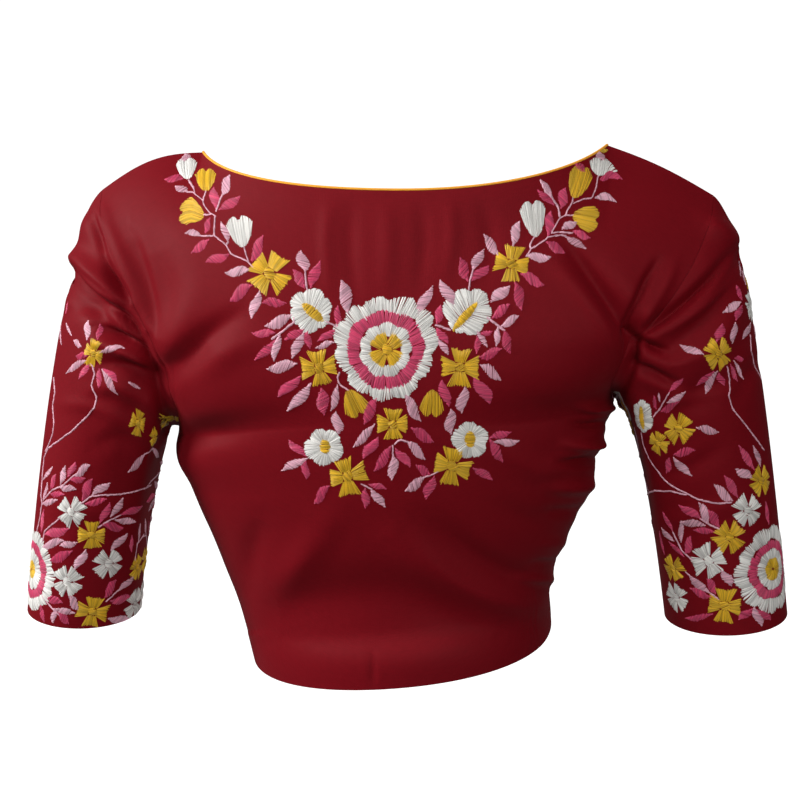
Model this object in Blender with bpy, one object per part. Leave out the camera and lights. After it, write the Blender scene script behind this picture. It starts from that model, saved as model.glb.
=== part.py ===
"""A short, fitted choli blouse with elbow sleeves, filled out as if worn and open at neck, hem and cuffs.

The embroidered back faces -Y, the hooked front faces +Y, and the wearer's right is at +X. The origin is
midway between the two points where neckline and shoulder seam meet, the line on which the blouse hangs.
All sizes below are millimetres, and MM turns them into Blender's metres.
"""

import math

import bpy
import numpy as np

MM = 0.001

# Cloth and seams
CLOTH = 1.5
SEAM_GAP = 0.4
NORMAL_STEP = 1e-3

# Cut of the body
NECK_POINTS = {"right": np.array([128.5, 0.0, -2.5]), "left": np.array([128.0, 0.0, -8.5])}
SHOULDER_TIP = np.array([195.0, 0.0, -33.0])
SHOULDER_ARCH = {"right": 2.5, "left": 7.0}
NECK_SHARE = 0.66
TOP_FADE = 0.17
UNDERARM = 0.54
UNDERARM_SPREAD = 0.17
UNDERARM_LIFT = {"right": 9.0, "left": -18.0}
HEM_LEAN = 0.115
TORSO_AXIS_Y = 8.0

# Front closing, right front over left front: distances right of the middle of each front's columns near its
# edge, and how far each column stands out from the chest
LAP_COLUMNS = {
    "right": ((-9, 1.7), (1, 1.7), (11, 1.7), (18, 0.0)),
    "left": ((10, -0.5), (1, -0.5), (-9, -0.5), (-16, 0.0)),
}
PIPING_BREAK = 3.0

# Piping round the neck
PIPING_RADIUS = 1.5
PIPING_STEPS = 34

# Mesh density: columns from the middle to the neck point and from there to the shoulder's tip, rows above and
# below the underarm, and rows along a sleeve
NECK_COLUMNS = 10
SHOULDER_COLUMNS = 6
ARMHOLE_ROWS = 15
SIDE_ROWS = 14
SLEEVE_ROWS = 22

SIDES = {"right": 1, "left": -1}


def table(names, *rows):
    """Columns by name, from rows written one below another."""
    return dict(zip(names.split(), np.array(rows, float).T))


# Sections of the back from shoulder to hem: its middle, its edge at armhole or side seam, and how far each
# end of the section runs straight before it bends. turn is the edge's heading, from outwards to forwards.
BACK_SECTIONS = table(
    "v mid_y mid_z mid_reach edge_x edge_y edge_z edge_reach turn dip",
    (0.00, -57, -26, 78, 195, 0, -33, 72, 4, 0.50),
    (0.08, -63, -39, 75, 192, -14, -45, 68, 12, 0.44),
    (0.18, -72, -63, 72, 181, -34, -69, 60, 20, 0.34),
    (0.29, -81, -92, 69, 163, -50, -98, 52, 28, 0.22),
    (0.39, -87, -119, 68, 146, -56, -125, 45, 38, 0.12),
    (0.47, -89, -143, 72, 138, -40, -153, 42, 62, 0.04),
    (0.54, -89, -163, 82, 143, 4, -174, 52, 86, 0.00),
    (0.68, -86, -208, 82, 136, 8, -216, 52, 90, 0.00),
    (0.84, -79, -264, 73, 118, 10, -268, 48, 90, 0.00),
    (1.00, -82, -336, 64, 102, 10, -338, 50, 90, 0.00),
)

# The same for the front, whose neckline is cut lower
FRONT_SECTIONS = table(
    "v mid_y mid_z mid_reach edge_x edge_y edge_z edge_reach turn dip",
    (0.00, 50, -78, 66, 195, 0, -33, 72, 4, 0.50),
    (0.08, 54, -86, 68, 192, 11, -45, 68, 10, 0.44),
    (0.18, 61, -98, 70, 182, 27, -69, 60, 16, 0.34),
    (0.29, 68, -114, 72, 164, 40, -98, 54, 24, 0.22),
    (0.39, 74, -131, 74, 150, 45, -125, 48, 34, 0.12),
    (0.47, 79, -147, 78, 141, 34, -153, 44, 60, 0.04),
    (0.54, 84, -163, 84, 143, 4, -174, 48, 86, 0.00),
    (0.68, 94, -208, 80, 136, 8, -216, 50, 90, 0.00),
    (0.84, 97, -264, 70, 118, 10, -268, 48, 90, 0.00),
    (1.00, 100, -336, 60, 102, 10, -338, 50, 90, 0.00),
)

# Handles of the two neckline curves, the first from the middle of the neck and the second from the neck point
NECK_HANDLES = {
    "back": (np.array([72.0, -1.0, 0.0]), np.array([-16.0, -35.0, -10.0])),
    "front": (np.array([62.0, 0.0, 0.0]), np.array([0.0, 32.0, -24.0])),
}

# The pose: how much wider than the sections each side stands
SIDE_SHIFTS = table(
    "v right left",
    (0.00, 0, 0),
    (0.29, 0, 0),
    (0.39, -2, 2),
    (0.47, -4, 4),
    (0.54, -6, 8),
    (0.61, -9, 10),
    (0.68, -8, 7),
    (0.76, -5, 7),
    (0.84, -7, 6),
    (0.92, -9, 2),
    (1.00, 0, 1),
)

# Bust cups of a general figure
CUP_X = 70.0
CUP_Z = -192.0
CUP_WIDTH = 52.0
CUP_HEIGHT = 50.0
CUP_DEPTH = 27.0

# How a sleeve leaves its armhole: heading outwards, backwards and downwards, and how far it keeps to it.
# round runs from the shoulder tip, 0, over the back, 0.25, to the underarm, 0.5, and on over the front.
SLEEVE_HEADS = table(
    "round out back down reach end_reach",
    (0.000, 0.80, 0.00, 0.60, 30, 92),
    (0.125, 0.86, 0.14, 0.48, 30, 92),
    (0.250, 0.92, 0.16, 0.34, 34, 84),
    (0.375, 0.96, 0.10, 0.26, 28, 72),
    (0.500, 0.98, 0.00, 0.20, 16, 60),
    (0.625, 0.96, -0.10, 0.26, 28, 72),
    (0.750, 0.92, -0.16, 0.34, 32, 84),
    (0.875, 0.86, -0.14, 0.48, 30, 92),
    (1.000, 0.80, 0.00, 0.60, 30, 92),
)

# Cuffs: centre, half widths sideways and front to back, and how much the hem drops outwards
CUFFS = {
    "right": dict(centre=(216.5, 3.0, -309.5), half=(40.0, 41.0), drop=-0.08, hang=(0.145, 0.0, -0.989)),
    "left": dict(centre=(222.5, 3.0, -322.0), half=(38.5, 40.0), drop=-0.05, hang=(0.12, 0.0, -0.993)),
}

# Folds, each a soft ridge or trough on an arc seen from the back or the front, right of the middle positive:
# its two ends, how far it bows, its half width and its height
FOLD_NAMES = "x0 z0 x1 z1 bow width height"
BACK_FOLDS = table(
    FOLD_NAMES,
    (112, -66, 150, -130, 7, 9, -4.0),
    (128, -74, 158, -120, 5, 8, 2.5),
    (-150, -66, -148, -118, 6, 13, -4.5),
    (-148, -152, -112, -118, -4, 13, -4.5),
    (-140, -134, -122, -92, 4, 11, 2.5),
    (4, -236, 92, -296, -9, 11, 4.0),
    (20, -226, 96, -276, -6, 10, -3.5),
    (-76, -292, 70, -300, 22, 17, -5.0),
    (-46, -232, -78, -282, 3, 12, 3.0),
    (96, -196, 130, -184, 2, 7, 2.0),
)
SLEEVE_FOLDS = {
    "right": table(
        FOLD_NAMES,
        (214, -70, 160, -124, 6, 7, -4.5),
        (216, -90, 164, -140, 6, 9, 3.5),
        (176, -158, 214, -142, 4, 8, -3.5),
        (150, -146, 178, -178, 3, 8, -3.0),
    ),
    "left": table(
        FOLD_NAMES,
        (-220, -93, -158, -132, 5, 6, -6.5),
        (-222, -76, -166, -116, 5, 9, 5.0),
        (-176, -134, -152, -160, 2, 8, -5.0),
        (-186, -158, -150, -186, 4, 9, -3.0),
    ),
}
FRONT_FOLDS = table(
    FOLD_NAMES,
    (150, -120, 118, -160, 4, 10, -3.0),
    (-150, -120, -118, -160, -4, 10, -3.0),
    (40, -262, 104, -250, 5, 10, -2.5),
    (-40, -262, -104, -250, -5, 10, -2.5),
)
FOLD_SAMPLES = np.linspace(0, 1, 25)


def track(columns, name, v):
    """A named column's value at v, on a smooth curve through its rows."""
    stations = next(iter(columns.values()))
    values = columns[name]
    slopes = np.gradient(values, stations)
    low = np.clip(np.searchsorted(stations, v, side="right") - 1, 0, len(stations) - 2)
    span = stations[low + 1] - stations[low]
    t = (v - stations[low]) / span
    return (
        (2 * t**3 - 3 * t**2 + 1) * values[low]
        + (t**3 - 2 * t**2 + t) * span * slopes[low]
        + (3 * t**2 - 2 * t**3) * values[low + 1]
        + (t**3 - t**2) * span * slopes[low + 1]
    )


def stack(x, y, z):
    """Points from three arrays of like or unlike shape."""
    return np.stack(np.broadcast_arrays(x, y, z), axis=-1).astype(float)


def bezier(p0, p1, p2, p3, t):
    """Cubic curve with handles p1 and p2."""
    t = np.asarray(t)[..., None]
    return (1 - t) ** 3 * p0 + 3 * t * (1 - t) ** 2 * p1 + 3 * t**2 * (1 - t) * p2 + t**3 * p3


def ease(t):
    """0 below 0, 1 above 1 and an S curve between."""
    t = np.clip(t, 0, 1)
    return t * t * (3 - 2 * t)


def unit(vectors):
    return vectors / np.linalg.norm(vectors, axis=-1, keepdims=True)


def edge_track(rows, name, v):
    """An edge column's value at v: a panel's own above the underarm, shared along the side seam below it."""
    shared = (track(BACK_SECTIONS, name, v) + track(FRONT_SECTIONS, name, v)) / 2
    return np.where(v > UNDERARM, shared, track(rows, name, v))


def section(face, side, u, v):
    """The body at u, from its middle to its edge, on the section at v."""
    rows = BACK_SECTIONS if face == "back" else FRONT_SECTIONS
    forwards = 1 if face == "back" else -1
    x, y, z = (edge_track(rows, name, v) for name in ("edge_x", "edge_y", "edge_z"))
    x = x + track(SIDE_SHIFTS, side, v)
    z = z + UNDERARM_LIFT[side] * np.exp(-(((v - UNDERARM) / UNDERARM_SPREAD) ** 2))
    lean = HEM_LEAN * SIDES[side] * ease((v - UNDERARM) / (1 - UNDERARM))
    turn = np.radians(track(rows, "turn", v))
    heading = unit(stack(np.cos(turn), forwards * np.sin(turn), -track(rows, "dip", v)))
    mid = stack(0, track(rows, "mid_y", v), track(rows, "mid_z", v))
    reach = track(rows, "mid_reach", v)
    mid_handle = mid + stack(reach, 0, lean * reach)
    edge = stack(x, y, z + lean * x)
    edge_handle = edge - heading * track(rows, "edge_reach", v)[..., None]
    return bezier(mid, mid_handle, edge_handle, edge, u)


def top_edge(face, side, u):
    """Neckline up to the neck point, then the arched shoulder seam to the shoulder's tip."""
    rows = BACK_SECTIONS if face == "back" else FRONT_SECTIONS
    mid = np.array([0.0, rows["mid_y"][0], rows["mid_z"][0]])
    point = NECK_POINTS[side]
    first, second = NECK_HANDLES[face]
    neck = bezier(mid, mid + first, point + second, point, np.clip(u / NECK_SHARE, 0, 1))
    along = np.clip((u - NECK_SHARE) / (1 - NECK_SHARE), 0, 1)
    seam = point + (SHOULDER_TIP - point) * along[..., None]
    seam[..., 2] += SHOULDER_ARCH[side] * np.sin(math.pi * along)
    return np.where(u[..., None] < NECK_SHARE, neck, seam)


def cups(points):
    """How far the bust cups stand forward of the chest at each point."""
    across = (points[..., 0] - CUP_X) / CUP_WIDTH
    below = np.where(points[..., 2] < CUP_Z, 0.92, 1.0)
    down = (points[..., 2] - CUP_Z) / (CUP_HEIGHT * below)
    return CUP_DEPTH * np.exp(-((across**2 + down**2) ** 1.25))


def fold_lift(points, folds):
    """Height of the folds at each point, seen along Y: Gaussian ridges on bowed lines, fading at both ends."""
    lift = np.zeros(points.shape[:-1])
    flat = points[..., [0, 2]]
    for x0, z0, x1, z1, bow, width, height in zip(*folds.values()):
        start, end = np.array([x0, z0]), np.array([x1, z1])
        run = end - start
        side = np.array([-run[1], run[0]]) / np.hypot(*run)
        line = start + run * FOLD_SAMPLES[:, None] + side * bow * np.sin(math.pi * FOLD_SAMPLES)[:, None]
        away = np.linalg.norm(flat[..., None, :] - line, axis=-1)
        nearest = away.argmin(axis=-1)
        fade = np.sin(math.pi * (0.12 + 0.76 * FOLD_SAMPLES))[nearest]
        lift += height * fade * np.exp(-((away.min(axis=-1) / width) ** 2))
    return lift


def smooth_body(face, s, v):
    """The body at s, from the left edge, -1, to the right edge, 1, before folds."""
    s, v = np.broadcast_arrays(np.asarray(s, float), np.asarray(v, float))
    u = np.abs(s)
    fade = (1 - ease(v / TOP_FADE))[..., None]
    halves = {}
    for side in SIDES:
        lift = top_edge(face, side, u) - section(face, side, u, np.zeros_like(v))
        halves[side] = section(face, side, u, v) + lift * fade
    shape = np.where((s >= 0)[..., None], halves["right"], halves["left"])
    if face == "front":
        shape[..., 1] += cups(shape)
    shape[..., 0] *= np.where(s < 0, -1, 1)
    return shape


def smooth_sleeve(side, turn, t):
    """A sleeve at turn, round its tube, and t, from armhole to cuff, before folds."""
    turn, t = np.broadcast_arrays(np.asarray(turn, float) % 1, np.asarray(t, float))
    v = UNDERARM * (1 - np.abs(1 - 2 * turn))
    edge = np.ones_like(turn) * SIDES[side]
    on_back = (turn < 0.5)[..., None]
    armhole = np.where(on_back, smooth_body("back", edge, v), smooth_body("front", edge, v))
    armhole[..., 0] *= SIDES[side]
    heads = {name: track(SLEEVE_HEADS, name, turn) for name in SLEEVE_HEADS}
    heading = unit(stack(heads["out"], -heads["back"], -heads["down"]))
    cuff = CUFFS[side]
    angle = 2 * math.pi * turn
    out = cuff["half"][0] * np.cos(angle)
    hem = stack(
        cuff["centre"][0] + out,
        cuff["centre"][1] - cuff["half"][1] * np.sin(angle),
        cuff["centre"][2] - cuff["drop"] * out,
    )
    near = armhole + heading * heads["reach"][..., None]
    far = hem - np.array(cuff["hang"]) * heads["end_reach"][..., None]
    shape = bezier(armhole, near, far, hem, t)
    shape[..., 0] *= SIDES[side]
    return shape


def outward(surface, a, b, away_from):
    """Unit normals of surface(a, b), turned away from a point inside it at the same height."""
    across = surface(a + NORMAL_STEP, b) - surface(a - NORMAL_STEP, b)
    down = surface(a, np.clip(b + NORMAL_STEP, 0, 1)) - surface(a, np.clip(b - NORMAL_STEP, 0, 1))
    normal = unit(np.cross(across, down))
    facing = np.sum(normal * (surface(a, b) - away_from), axis=-1, keepdims=True)
    return normal * np.where(facing < 0, -1, 1)


def body_normal(face, s, v):
    """Normals of the body, with one-sided steps at its two edges."""
    inside = np.clip(s, -1 + NORMAL_STEP, 1 - NORMAL_STEP)
    points = smooth_body(face, inside, v)
    axis = stack(0, TORSO_AXIS_Y, points[..., 2])
    return outward(lambda a, b: smooth_body(face, a, b), inside, v, axis)


def sleeve_normal(side, turn, t):
    """Normals of a sleeve, turned away from the line down its middle."""
    top = smooth_sleeve(side, np.linspace(0, 1, 16, endpoint=False), 0.0).mean(axis=0)
    centre = np.array(CUFFS[side]["centre"]) * (SIDES[side], 1, 1)
    middle = top + (centre - top) * np.asarray(t)[..., None]
    return outward(lambda a, b: smooth_sleeve(side, a, b), turn, t, middle)


def armhole_normal(side, turn):
    """The one direction in which body and sleeve are both thick at their seam."""
    v = UNDERARM * (1 - np.abs(1 - 2 * turn))
    edge = np.ones_like(turn) * SIDES[side]
    both = np.isclose(turn % 0.5, 0) | np.isclose(turn % 0.5, 0.5)
    share = np.where(both, 0.5, turn < 0.5)[..., None]
    body = share * body_normal("back", edge, v) + (1 - share) * body_normal("front", edge, v)
    return unit(body + sleeve_normal(side, turn, np.full_like(turn, NORMAL_STEP)))


def seam_normal(v, side_sign):
    """The shared direction of thickness at a side seam or a shoulder seam's outer end."""
    edge = np.ones_like(v) * side_sign
    return unit(body_normal("back", edge, v) + body_normal("front", edge, v))


def body_edges(face, s, v):
    """Normals of a body grid, with each seam's shared normal at its edge."""
    normal = body_normal(face, s, v)
    other = body_normal("front" if face == "back" else "back", s, v)
    for name, sign in SIDES.items():
        at_edge = np.isclose(s, sign)
        turn = v / UNDERARM / 2
        turn = turn if face == "back" else 1 - turn
        along = np.where(v <= UNDERARM, 1, 0)[..., None]
        arm = armhole_normal(name, np.clip(turn, 0, 1))
        shared = np.where(along == 1, arm, seam_normal(v, sign))
        normal = np.where(at_edge[..., None], shared, normal)
    on_shoulder = (v < 1e-9) & (np.abs(s) >= NECK_SHARE) & (np.abs(s) < 1)
    return np.where(on_shoulder[..., None], unit(normal + other), normal)


def shrink_from_edges(points, edges):
    """Draws the named edges of a grid back by half a seam gap, along the cloth."""
    points = points.copy()
    moves = {
        "left": (np.s_[:, 0], np.s_[:, 1]),
        "right": (np.s_[:, -1], np.s_[:, -2]),
        "top": (np.s_[0], np.s_[1]),
    }
    for edge, width in edges.items():
        here, inside = moves[edge]
        step = unit(points[inside] - points[here])
        points[here] += step * (SEAM_GAP / 2) * np.broadcast_to(width, step.shape[0])[:, None]
    return points


def wall(name, outer, inner, ring=False):
    """A closed cloth wall between two grids of points. A ring's last column joins its first."""
    rows, columns = outer.shape[:2]
    count = rows * columns
    at = np.arange(count).reshape(rows, columns)
    if ring:
        at = np.concatenate([at, at[:, :1]], axis=1)
    quads = np.stack([at[:-1, :-1], at[1:, :-1], at[1:, 1:], at[:-1, 1:]], axis=-1).reshape(-1, 4)
    faces = [quads, quads[:, ::-1] + count]
    borders = [at[0][::-1], at[-1]]
    if not ring:
        borders += [at[:, 0], at[:, -1][::-1]]
    for border in borders:
        here, after = border[:-1], border[1:]
        faces.append(np.stack([after, here, here + count, after + count], axis=-1))
    faces = np.concatenate(faces)
    points = np.concatenate([outer.reshape(-1, 3), inner.reshape(-1, 3)]) * MM
    mesh = bpy.data.meshes.new(name)
    mesh.from_pydata(points.tolist(), [], faces.tolist())
    mesh.validate()
    if signed_volume(points, faces) < 0:
        mesh.flip_normals()
    mesh.shade_smooth()
    mesh.set_sharp_from_angle(angle=math.radians(40))
    return stand(name, mesh)


def stand(name, data):
    """An object of its own for a piece, in the scene."""
    shape = bpy.data.objects.new(name, data)
    bpy.context.scene.collection.objects.link(shape)
    return shape


def signed_volume(points, faces):
    """Volume inside quads that face outwards; negative where they face inwards."""
    a, b, c, d = (points[faces[:, i]] for i in range(4))
    return (np.sum(a * np.cross(b, c)) + np.sum(a * np.cross(c, d))) / 6


def body_rows():
    """Row positions of every body panel, one of them at the underarm."""
    above = np.linspace(0, UNDERARM, ARMHOLE_ROWS + 1)
    return np.concatenate([above, np.linspace(UNDERARM, 1, SIDE_ROWS + 1)[1:]])


def spread(first, last, steps):
    """Steps from first, left out, to last, for numbers or for one value for each row."""
    share = np.arange(1, steps + 1) / steps
    first, last = np.asarray(first)[..., None], np.asarray(last)[..., None]
    return first + (last - first) * share


def folded_body(face, s, v):
    """Outer points and wall directions of a body panel, folds included."""
    points, normal = smooth_body(face, s, v), body_edges(face, s, v)
    calm = ease(v / 0.1) * ease((1 - np.abs(s)) / 0.06)
    lift = fold_lift(points, BACK_FOLDS if face == "back" else FRONT_FOLDS) * calm
    return points + normal * lift[..., None], normal


def make_back():
    """The back: one piece from side seam to side seam."""
    half = np.concatenate([spread(0, NECK_SHARE, NECK_COLUMNS), spread(NECK_SHARE, 1, SHOULDER_COLUMNS)])
    s, v = np.meshgrid(np.concatenate([-half[::-1], [0], half]), body_rows())
    points, normal = folded_body("back", s, v)
    on_shoulder = (np.abs(s[0]) >= NECK_SHARE).astype(float)
    outer = shrink_from_edges(points, {"left": 1, "right": 1, "top": on_shoulder})
    return wall("back_panel", outer, outer - normal * CLOTH)


def lap_share(distance, v):
    """s at a distance right of the middle of the front."""
    fade = 1 - ease(v / TOP_FADE)
    reach = track(FRONT_SECTIONS, "mid_reach", v)
    top_reach = NECK_HANDLES["front"][0][0] / NECK_SHARE
    return distance / (3 * (reach + (top_reach - FRONT_SECTIONS["mid_reach"][0]) * fade))


def make_front(side):
    """One front. The right one laps over the left one, which runs on beneath it."""
    v = body_rows()
    sign = SIDES[side]
    lap = np.stack([lap_share(distance, v) for distance, _ in LAP_COLUMNS[side]], axis=-1)
    neck = spread(lap[:, -1], np.full_like(v, sign * NECK_SHARE), NECK_COLUMNS)
    shoulder = spread(np.full_like(v, sign * NECK_SHARE), np.full_like(v, sign), SHOULDER_COLUMNS)
    s = np.concatenate([lap, neck, shoulder], axis=1)
    s, v = s[:, ::sign], np.broadcast_to(v[:, None], s.shape)
    points, normal = folded_body("front", s, v)
    rise = np.zeros(s.shape[1])
    rise[: len(LAP_COLUMNS[side])] = [height for _, height in LAP_COLUMNS[side]]
    points = points + normal * rise[::sign, None]
    on_shoulder = (np.abs(s[0]) > NECK_SHARE - 1e-6).astype(float)
    outer = shrink_from_edges(points, {side: 1, "top": on_shoulder})
    return wall(f"front_{side}_panel", outer, outer - normal * CLOTH)


def make_sleeve(side):
    """A one-piece sleeve, its underarm seam closed, from armhole to turned cuff."""
    turn = np.linspace(0, 1, 2 * ARMHOLE_ROWS, endpoint=False)
    t = np.linspace(0, 1, SLEEVE_ROWS)
    turn, t = np.meshgrid(turn, t)
    points, normal = smooth_sleeve(side, turn, t), sleeve_normal(side, turn, t)
    normal[0] = armhole_normal(side, turn[0])
    facing_back = ease(0.5 - 1.5 * normal[..., 1])
    calm = ease(t / 0.1) * ease((1 - t) / 0.1) * facing_back
    points = points + normal * (fold_lift(points, SLEEVE_FOLDS[side]) * calm)[..., None]
    outer = shrink_from_edges(points, {"top": 1})
    return wall(f"{side}_sleeve", outer, outer - normal * CLOTH, ring=True)


def neck_line(face, s):
    """Neckline points, the direction in which the cloth's edge looks there, and the cloth's normal."""
    top = np.zeros_like(s)
    edge, out = smooth_body(face, s, top), body_normal(face, s, top)
    along = smooth_body(face, s + NORMAL_STEP, top) - smooth_body(face, s - NORMAL_STEP, top)
    up = unit(np.cross(along, out))
    below = np.sum(up * (edge - smooth_body(face, s, top + 0.02)), axis=-1, keepdims=True) < 0
    return edge, np.where(below, -up, up), out


def make_piping():
    """A thin corded roll on the edge of the whole neckline, open only where the fronts close."""
    overlap = LAP_COLUMNS["right"]
    first, last = lap_share(overlap[0][0], 0.0), lap_share(overlap[0][0] - PIPING_BREAK, 0.0)
    inset = NORMAL_STEP * 2
    runs = [
        ("front", np.linspace(first, NECK_SHARE - inset, PIPING_STEPS)),
        ("back", np.linspace(NECK_SHARE - inset, inset - NECK_SHARE, 2 * PIPING_STEPS)),
        ("front", np.linspace(inset - NECK_SHARE, last, PIPING_STEPS)),
    ]
    parts = [neck_line(face, s) for face, s in runs]
    edge, up, out = (np.concatenate([part[i] for part in parts]) for i in range(3))
    rise = np.interp(edge[:, 0], *np.array(overlap).T)
    rise[PIPING_STEPS:] = 0
    lift = PIPING_RADIUS + SEAM_GAP + 0.2
    centre = (edge + up * lift + out * (rise - CLOTH / 2)[:, None]) * MM
    curve = bpy.data.curves.new("neck_piping", "CURVE")
    curve.dimensions = "3D"
    curve.bevel_depth = PIPING_RADIUS * MM
    curve.bevel_resolution = 1
    curve.use_fill_caps = True
    line = curve.splines.new("POLY")
    line.points.add(len(centre) - 1)
    for point, place in zip(line.points, centre):
        point.co = (*place, 1)
    line.use_smooth = True
    return stand("neck_piping", curve)


def finish(name, colour, roughness):
    """A plain dyed cloth finish."""
    material = bpy.data.materials.new(name)
    material.use_nodes = True
    shader = material.node_tree.nodes["Principled BSDF"]
    shader.inputs["Base Color"].default_value = (*colour, 1)
    shader.inputs["Roughness"].default_value = roughness
    shader.inputs["Metallic"].default_value = 0.0
    return material


def main():
    for old in list(bpy.data.objects):
        bpy.data.objects.remove(old)
    blouse = stand("choli_blouse", None)
    cloth = [make_back(), make_front("right"), make_front("left"), make_sleeve("right"), make_sleeve("left")]
    for piece in cloth:
        piece.data.materials.append(finish(f"maroon_{piece.name}", (0.21, 0.012, 0.022), 0.55))
    piping = make_piping()
    piping.data.materials.append(finish("gold_piping", (0.72, 0.30, 0.04), 0.5))
    for piece in [*cloth, piping]:
        piece.parent = blouse


main()
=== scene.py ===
"""The choli blouse from the photo, seen from behind: maroon cloth, satin-stitched flowers and gold piping.

Cloth sizes are millimetres, turned into Blender's metres by MM. The embroidery's places are read off the
photo, in its pixels right and down, and thrown onto the cloth along the camera's lines of sight.
"""

import math

import bpy
import numpy as np
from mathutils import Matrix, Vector


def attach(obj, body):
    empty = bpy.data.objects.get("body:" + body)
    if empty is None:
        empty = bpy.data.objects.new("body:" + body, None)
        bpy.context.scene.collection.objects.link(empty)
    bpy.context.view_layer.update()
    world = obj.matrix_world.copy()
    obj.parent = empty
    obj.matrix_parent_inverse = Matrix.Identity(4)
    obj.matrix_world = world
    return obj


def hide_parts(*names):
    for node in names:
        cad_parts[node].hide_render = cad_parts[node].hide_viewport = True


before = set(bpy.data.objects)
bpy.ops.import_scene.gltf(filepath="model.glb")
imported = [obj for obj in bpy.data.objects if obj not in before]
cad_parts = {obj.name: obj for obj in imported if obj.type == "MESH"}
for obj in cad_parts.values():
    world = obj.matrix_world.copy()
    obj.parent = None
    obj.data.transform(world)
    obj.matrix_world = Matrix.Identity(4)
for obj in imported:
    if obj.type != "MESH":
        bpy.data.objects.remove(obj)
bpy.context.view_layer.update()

# Back panel
# The real one is a single piece of silk-cotton, fitted by the pose and sewn to the sleeves, the side seams
# and the shoulder seams. Its sections, seams and folds are the CAD part's own, at a finer mesh and with the
# smaller creases of the photo.
MM = 0.001
CLOTH = 0.9
SEAM_GAP = 0.2
SHARP_DEGREES = 50
NORMAL_STEP = 1e-3
SEAM_FADE = 0.06
TOP_CALM = 0.1
SIDES = {"right": 1, "left": -1}
NECK_POINTS = {"right": np.array([128.5, 0.0, -2.5]), "left": np.array([128.0, 0.0, -8.5])}
SHOULDER_TIP = np.array([195.0, 0.0, -33.0])
SHOULDER_ARCH = {"right": 2.5, "left": 7.0}
NECK_SHARE = 0.66
TOP_FADE = 0.17
UNDERARM = 0.54
UNDERARM_SPREAD = 0.17
UNDERARM_LIFT = {"right": 9.0, "left": -18.0}
HEM_LEAN = 0.115
TORSO_AXIS_Y = 8.0
CUP_X, CUP_Z, CUP_WIDTH, CUP_HEIGHT, CUP_DEPTH = 70.0, -192.0, 52.0, 50.0, 27.0
CUP_UNDERSIDE = 0.92
BACK_COLUMNS = (62, 44)
BODY_ROWS = (82, 104)
THREADS_ACROSS, THREADS_ALONG = 2600.0, 120.0
SLUBS = (190, 900)
SLUB_TINT = 0.16


def table(names, *rows):
    """Columns by name, from rows written one below another."""
    return dict(zip(names.split(), np.array(rows, float).T))


# A section's middle and its edge at armhole or side seam, and how far each end of it runs straight before it
# bends. turn is the edge's heading, from outwards to forwards.
BACK_SECTIONS = table(
    "v mid_y mid_z mid_reach edge_x edge_y edge_z edge_reach turn dip",
    (0.00, -57, -26, 78, 195, 0, -33, 72, 4, 0.50),
    (0.08, -63, -39, 75, 192, -14, -45, 68, 12, 0.44),
    (0.18, -72, -63, 72, 181, -34, -69, 60, 20, 0.34),
    (0.29, -81, -92, 69, 163, -50, -98, 52, 28, 0.22),
    (0.39, -87, -119, 68, 146, -56, -125, 45, 38, 0.12),
    (0.47, -89, -143, 72, 138, -40, -153, 42, 62, 0.04),
    (0.54, -89, -163, 82, 143, 4, -174, 52, 86, 0.00),
    (0.68, -86, -208, 82, 136, 8, -216, 52, 90, 0.00),
    (0.84, -79, -264, 73, 118, 10, -268, 48, 90, 0.00),
    (1.00, -82, -336, 64, 102, 10, -338, 50, 90, 0.00),
)
FRONT_SECTIONS = table(
    "v mid_y mid_z mid_reach edge_x edge_y edge_z edge_reach turn dip",
    (0.00, 50, -78, 66, 195, 0, -33, 72, 4, 0.50),
    (0.08, 54, -86, 68, 192, 11, -45, 68, 10, 0.44),
    (0.18, 61, -98, 70, 182, 27, -69, 60, 16, 0.34),
    (0.29, 68, -114, 72, 164, 40, -98, 54, 24, 0.22),
    (0.39, 74, -131, 74, 150, 45, -125, 48, 34, 0.12),
    (0.47, 79, -147, 78, 141, 34, -153, 44, 60, 0.04),
    (0.54, 84, -163, 84, 143, 4, -174, 48, 86, 0.00),
    (0.68, 94, -208, 80, 136, 8, -216, 50, 90, 0.00),
    (0.84, 97, -264, 70, 118, 10, -268, 48, 90, 0.00),
    (1.00, 100, -336, 60, 102, 10, -338, 50, 90, 0.00),
)
NECK_HANDLES = {
    "back": (np.array([72.0, -1.0, 0.0]), np.array([-16.0, -35.0, -10.0])),
    "front": (np.array([62.0, 0.0, 0.0]), np.array([0.0, 32.0, -24.0])),
}
SIDE_SHIFTS = table(
    "v right left",
    (0.00, 0, 0),
    (0.29, 0, 0),
    (0.39, -2, 2),
    (0.47, -4, 4),
    (0.54, -6, 8),
    (0.61, -9, 10),
    (0.68, -8, 7),
    (0.76, -5, 7),
    (0.84, -7, 6),
    (0.92, -9, 2),
    (1.00, 0, 1),
)

# Folds, each a soft ridge or trough on an arc: its two ends, how far it bows, its half width and its height
FOLD_NAMES = "x0 z0 x1 z1 bow width height"
BACK_FOLDS = table(
    FOLD_NAMES,
    (112, -66, 150, -130, 7, 9, -4.0),
    (128, -74, 158, -120, 5, 8, 2.5),
    (-150, -66, -148, -118, 6, 13, -4.5),
    (-148, -152, -112, -118, -4, 13, -4.5),
    (-140, -134, -122, -92, 4, 11, 2.5),
    (4, -236, 92, -296, -9, 11, 4.0),
    (20, -226, 96, -276, -6, 10, -3.5),
    (-76, -292, 70, -300, 22, 17, -5.0),
    (-46, -232, -78, -282, 3, 12, 3.0),
    (96, -196, 130, -184, 2, 7, 2.0),
)
FOLD_SAMPLES = np.linspace(0, 1, 49)
CREASE_SAMPLES = np.linspace(0, 1, 65)

# The camera that took the photo, its focus and image centre in pixels of the photo
EYE = np.array([90.6, -940.6, 57.0])
AIM = np.array([0.0, 0.0, -175.0])
FOCUS = 1480.0
IMAGE_CENTRE = (402.0, 410.0)

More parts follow.
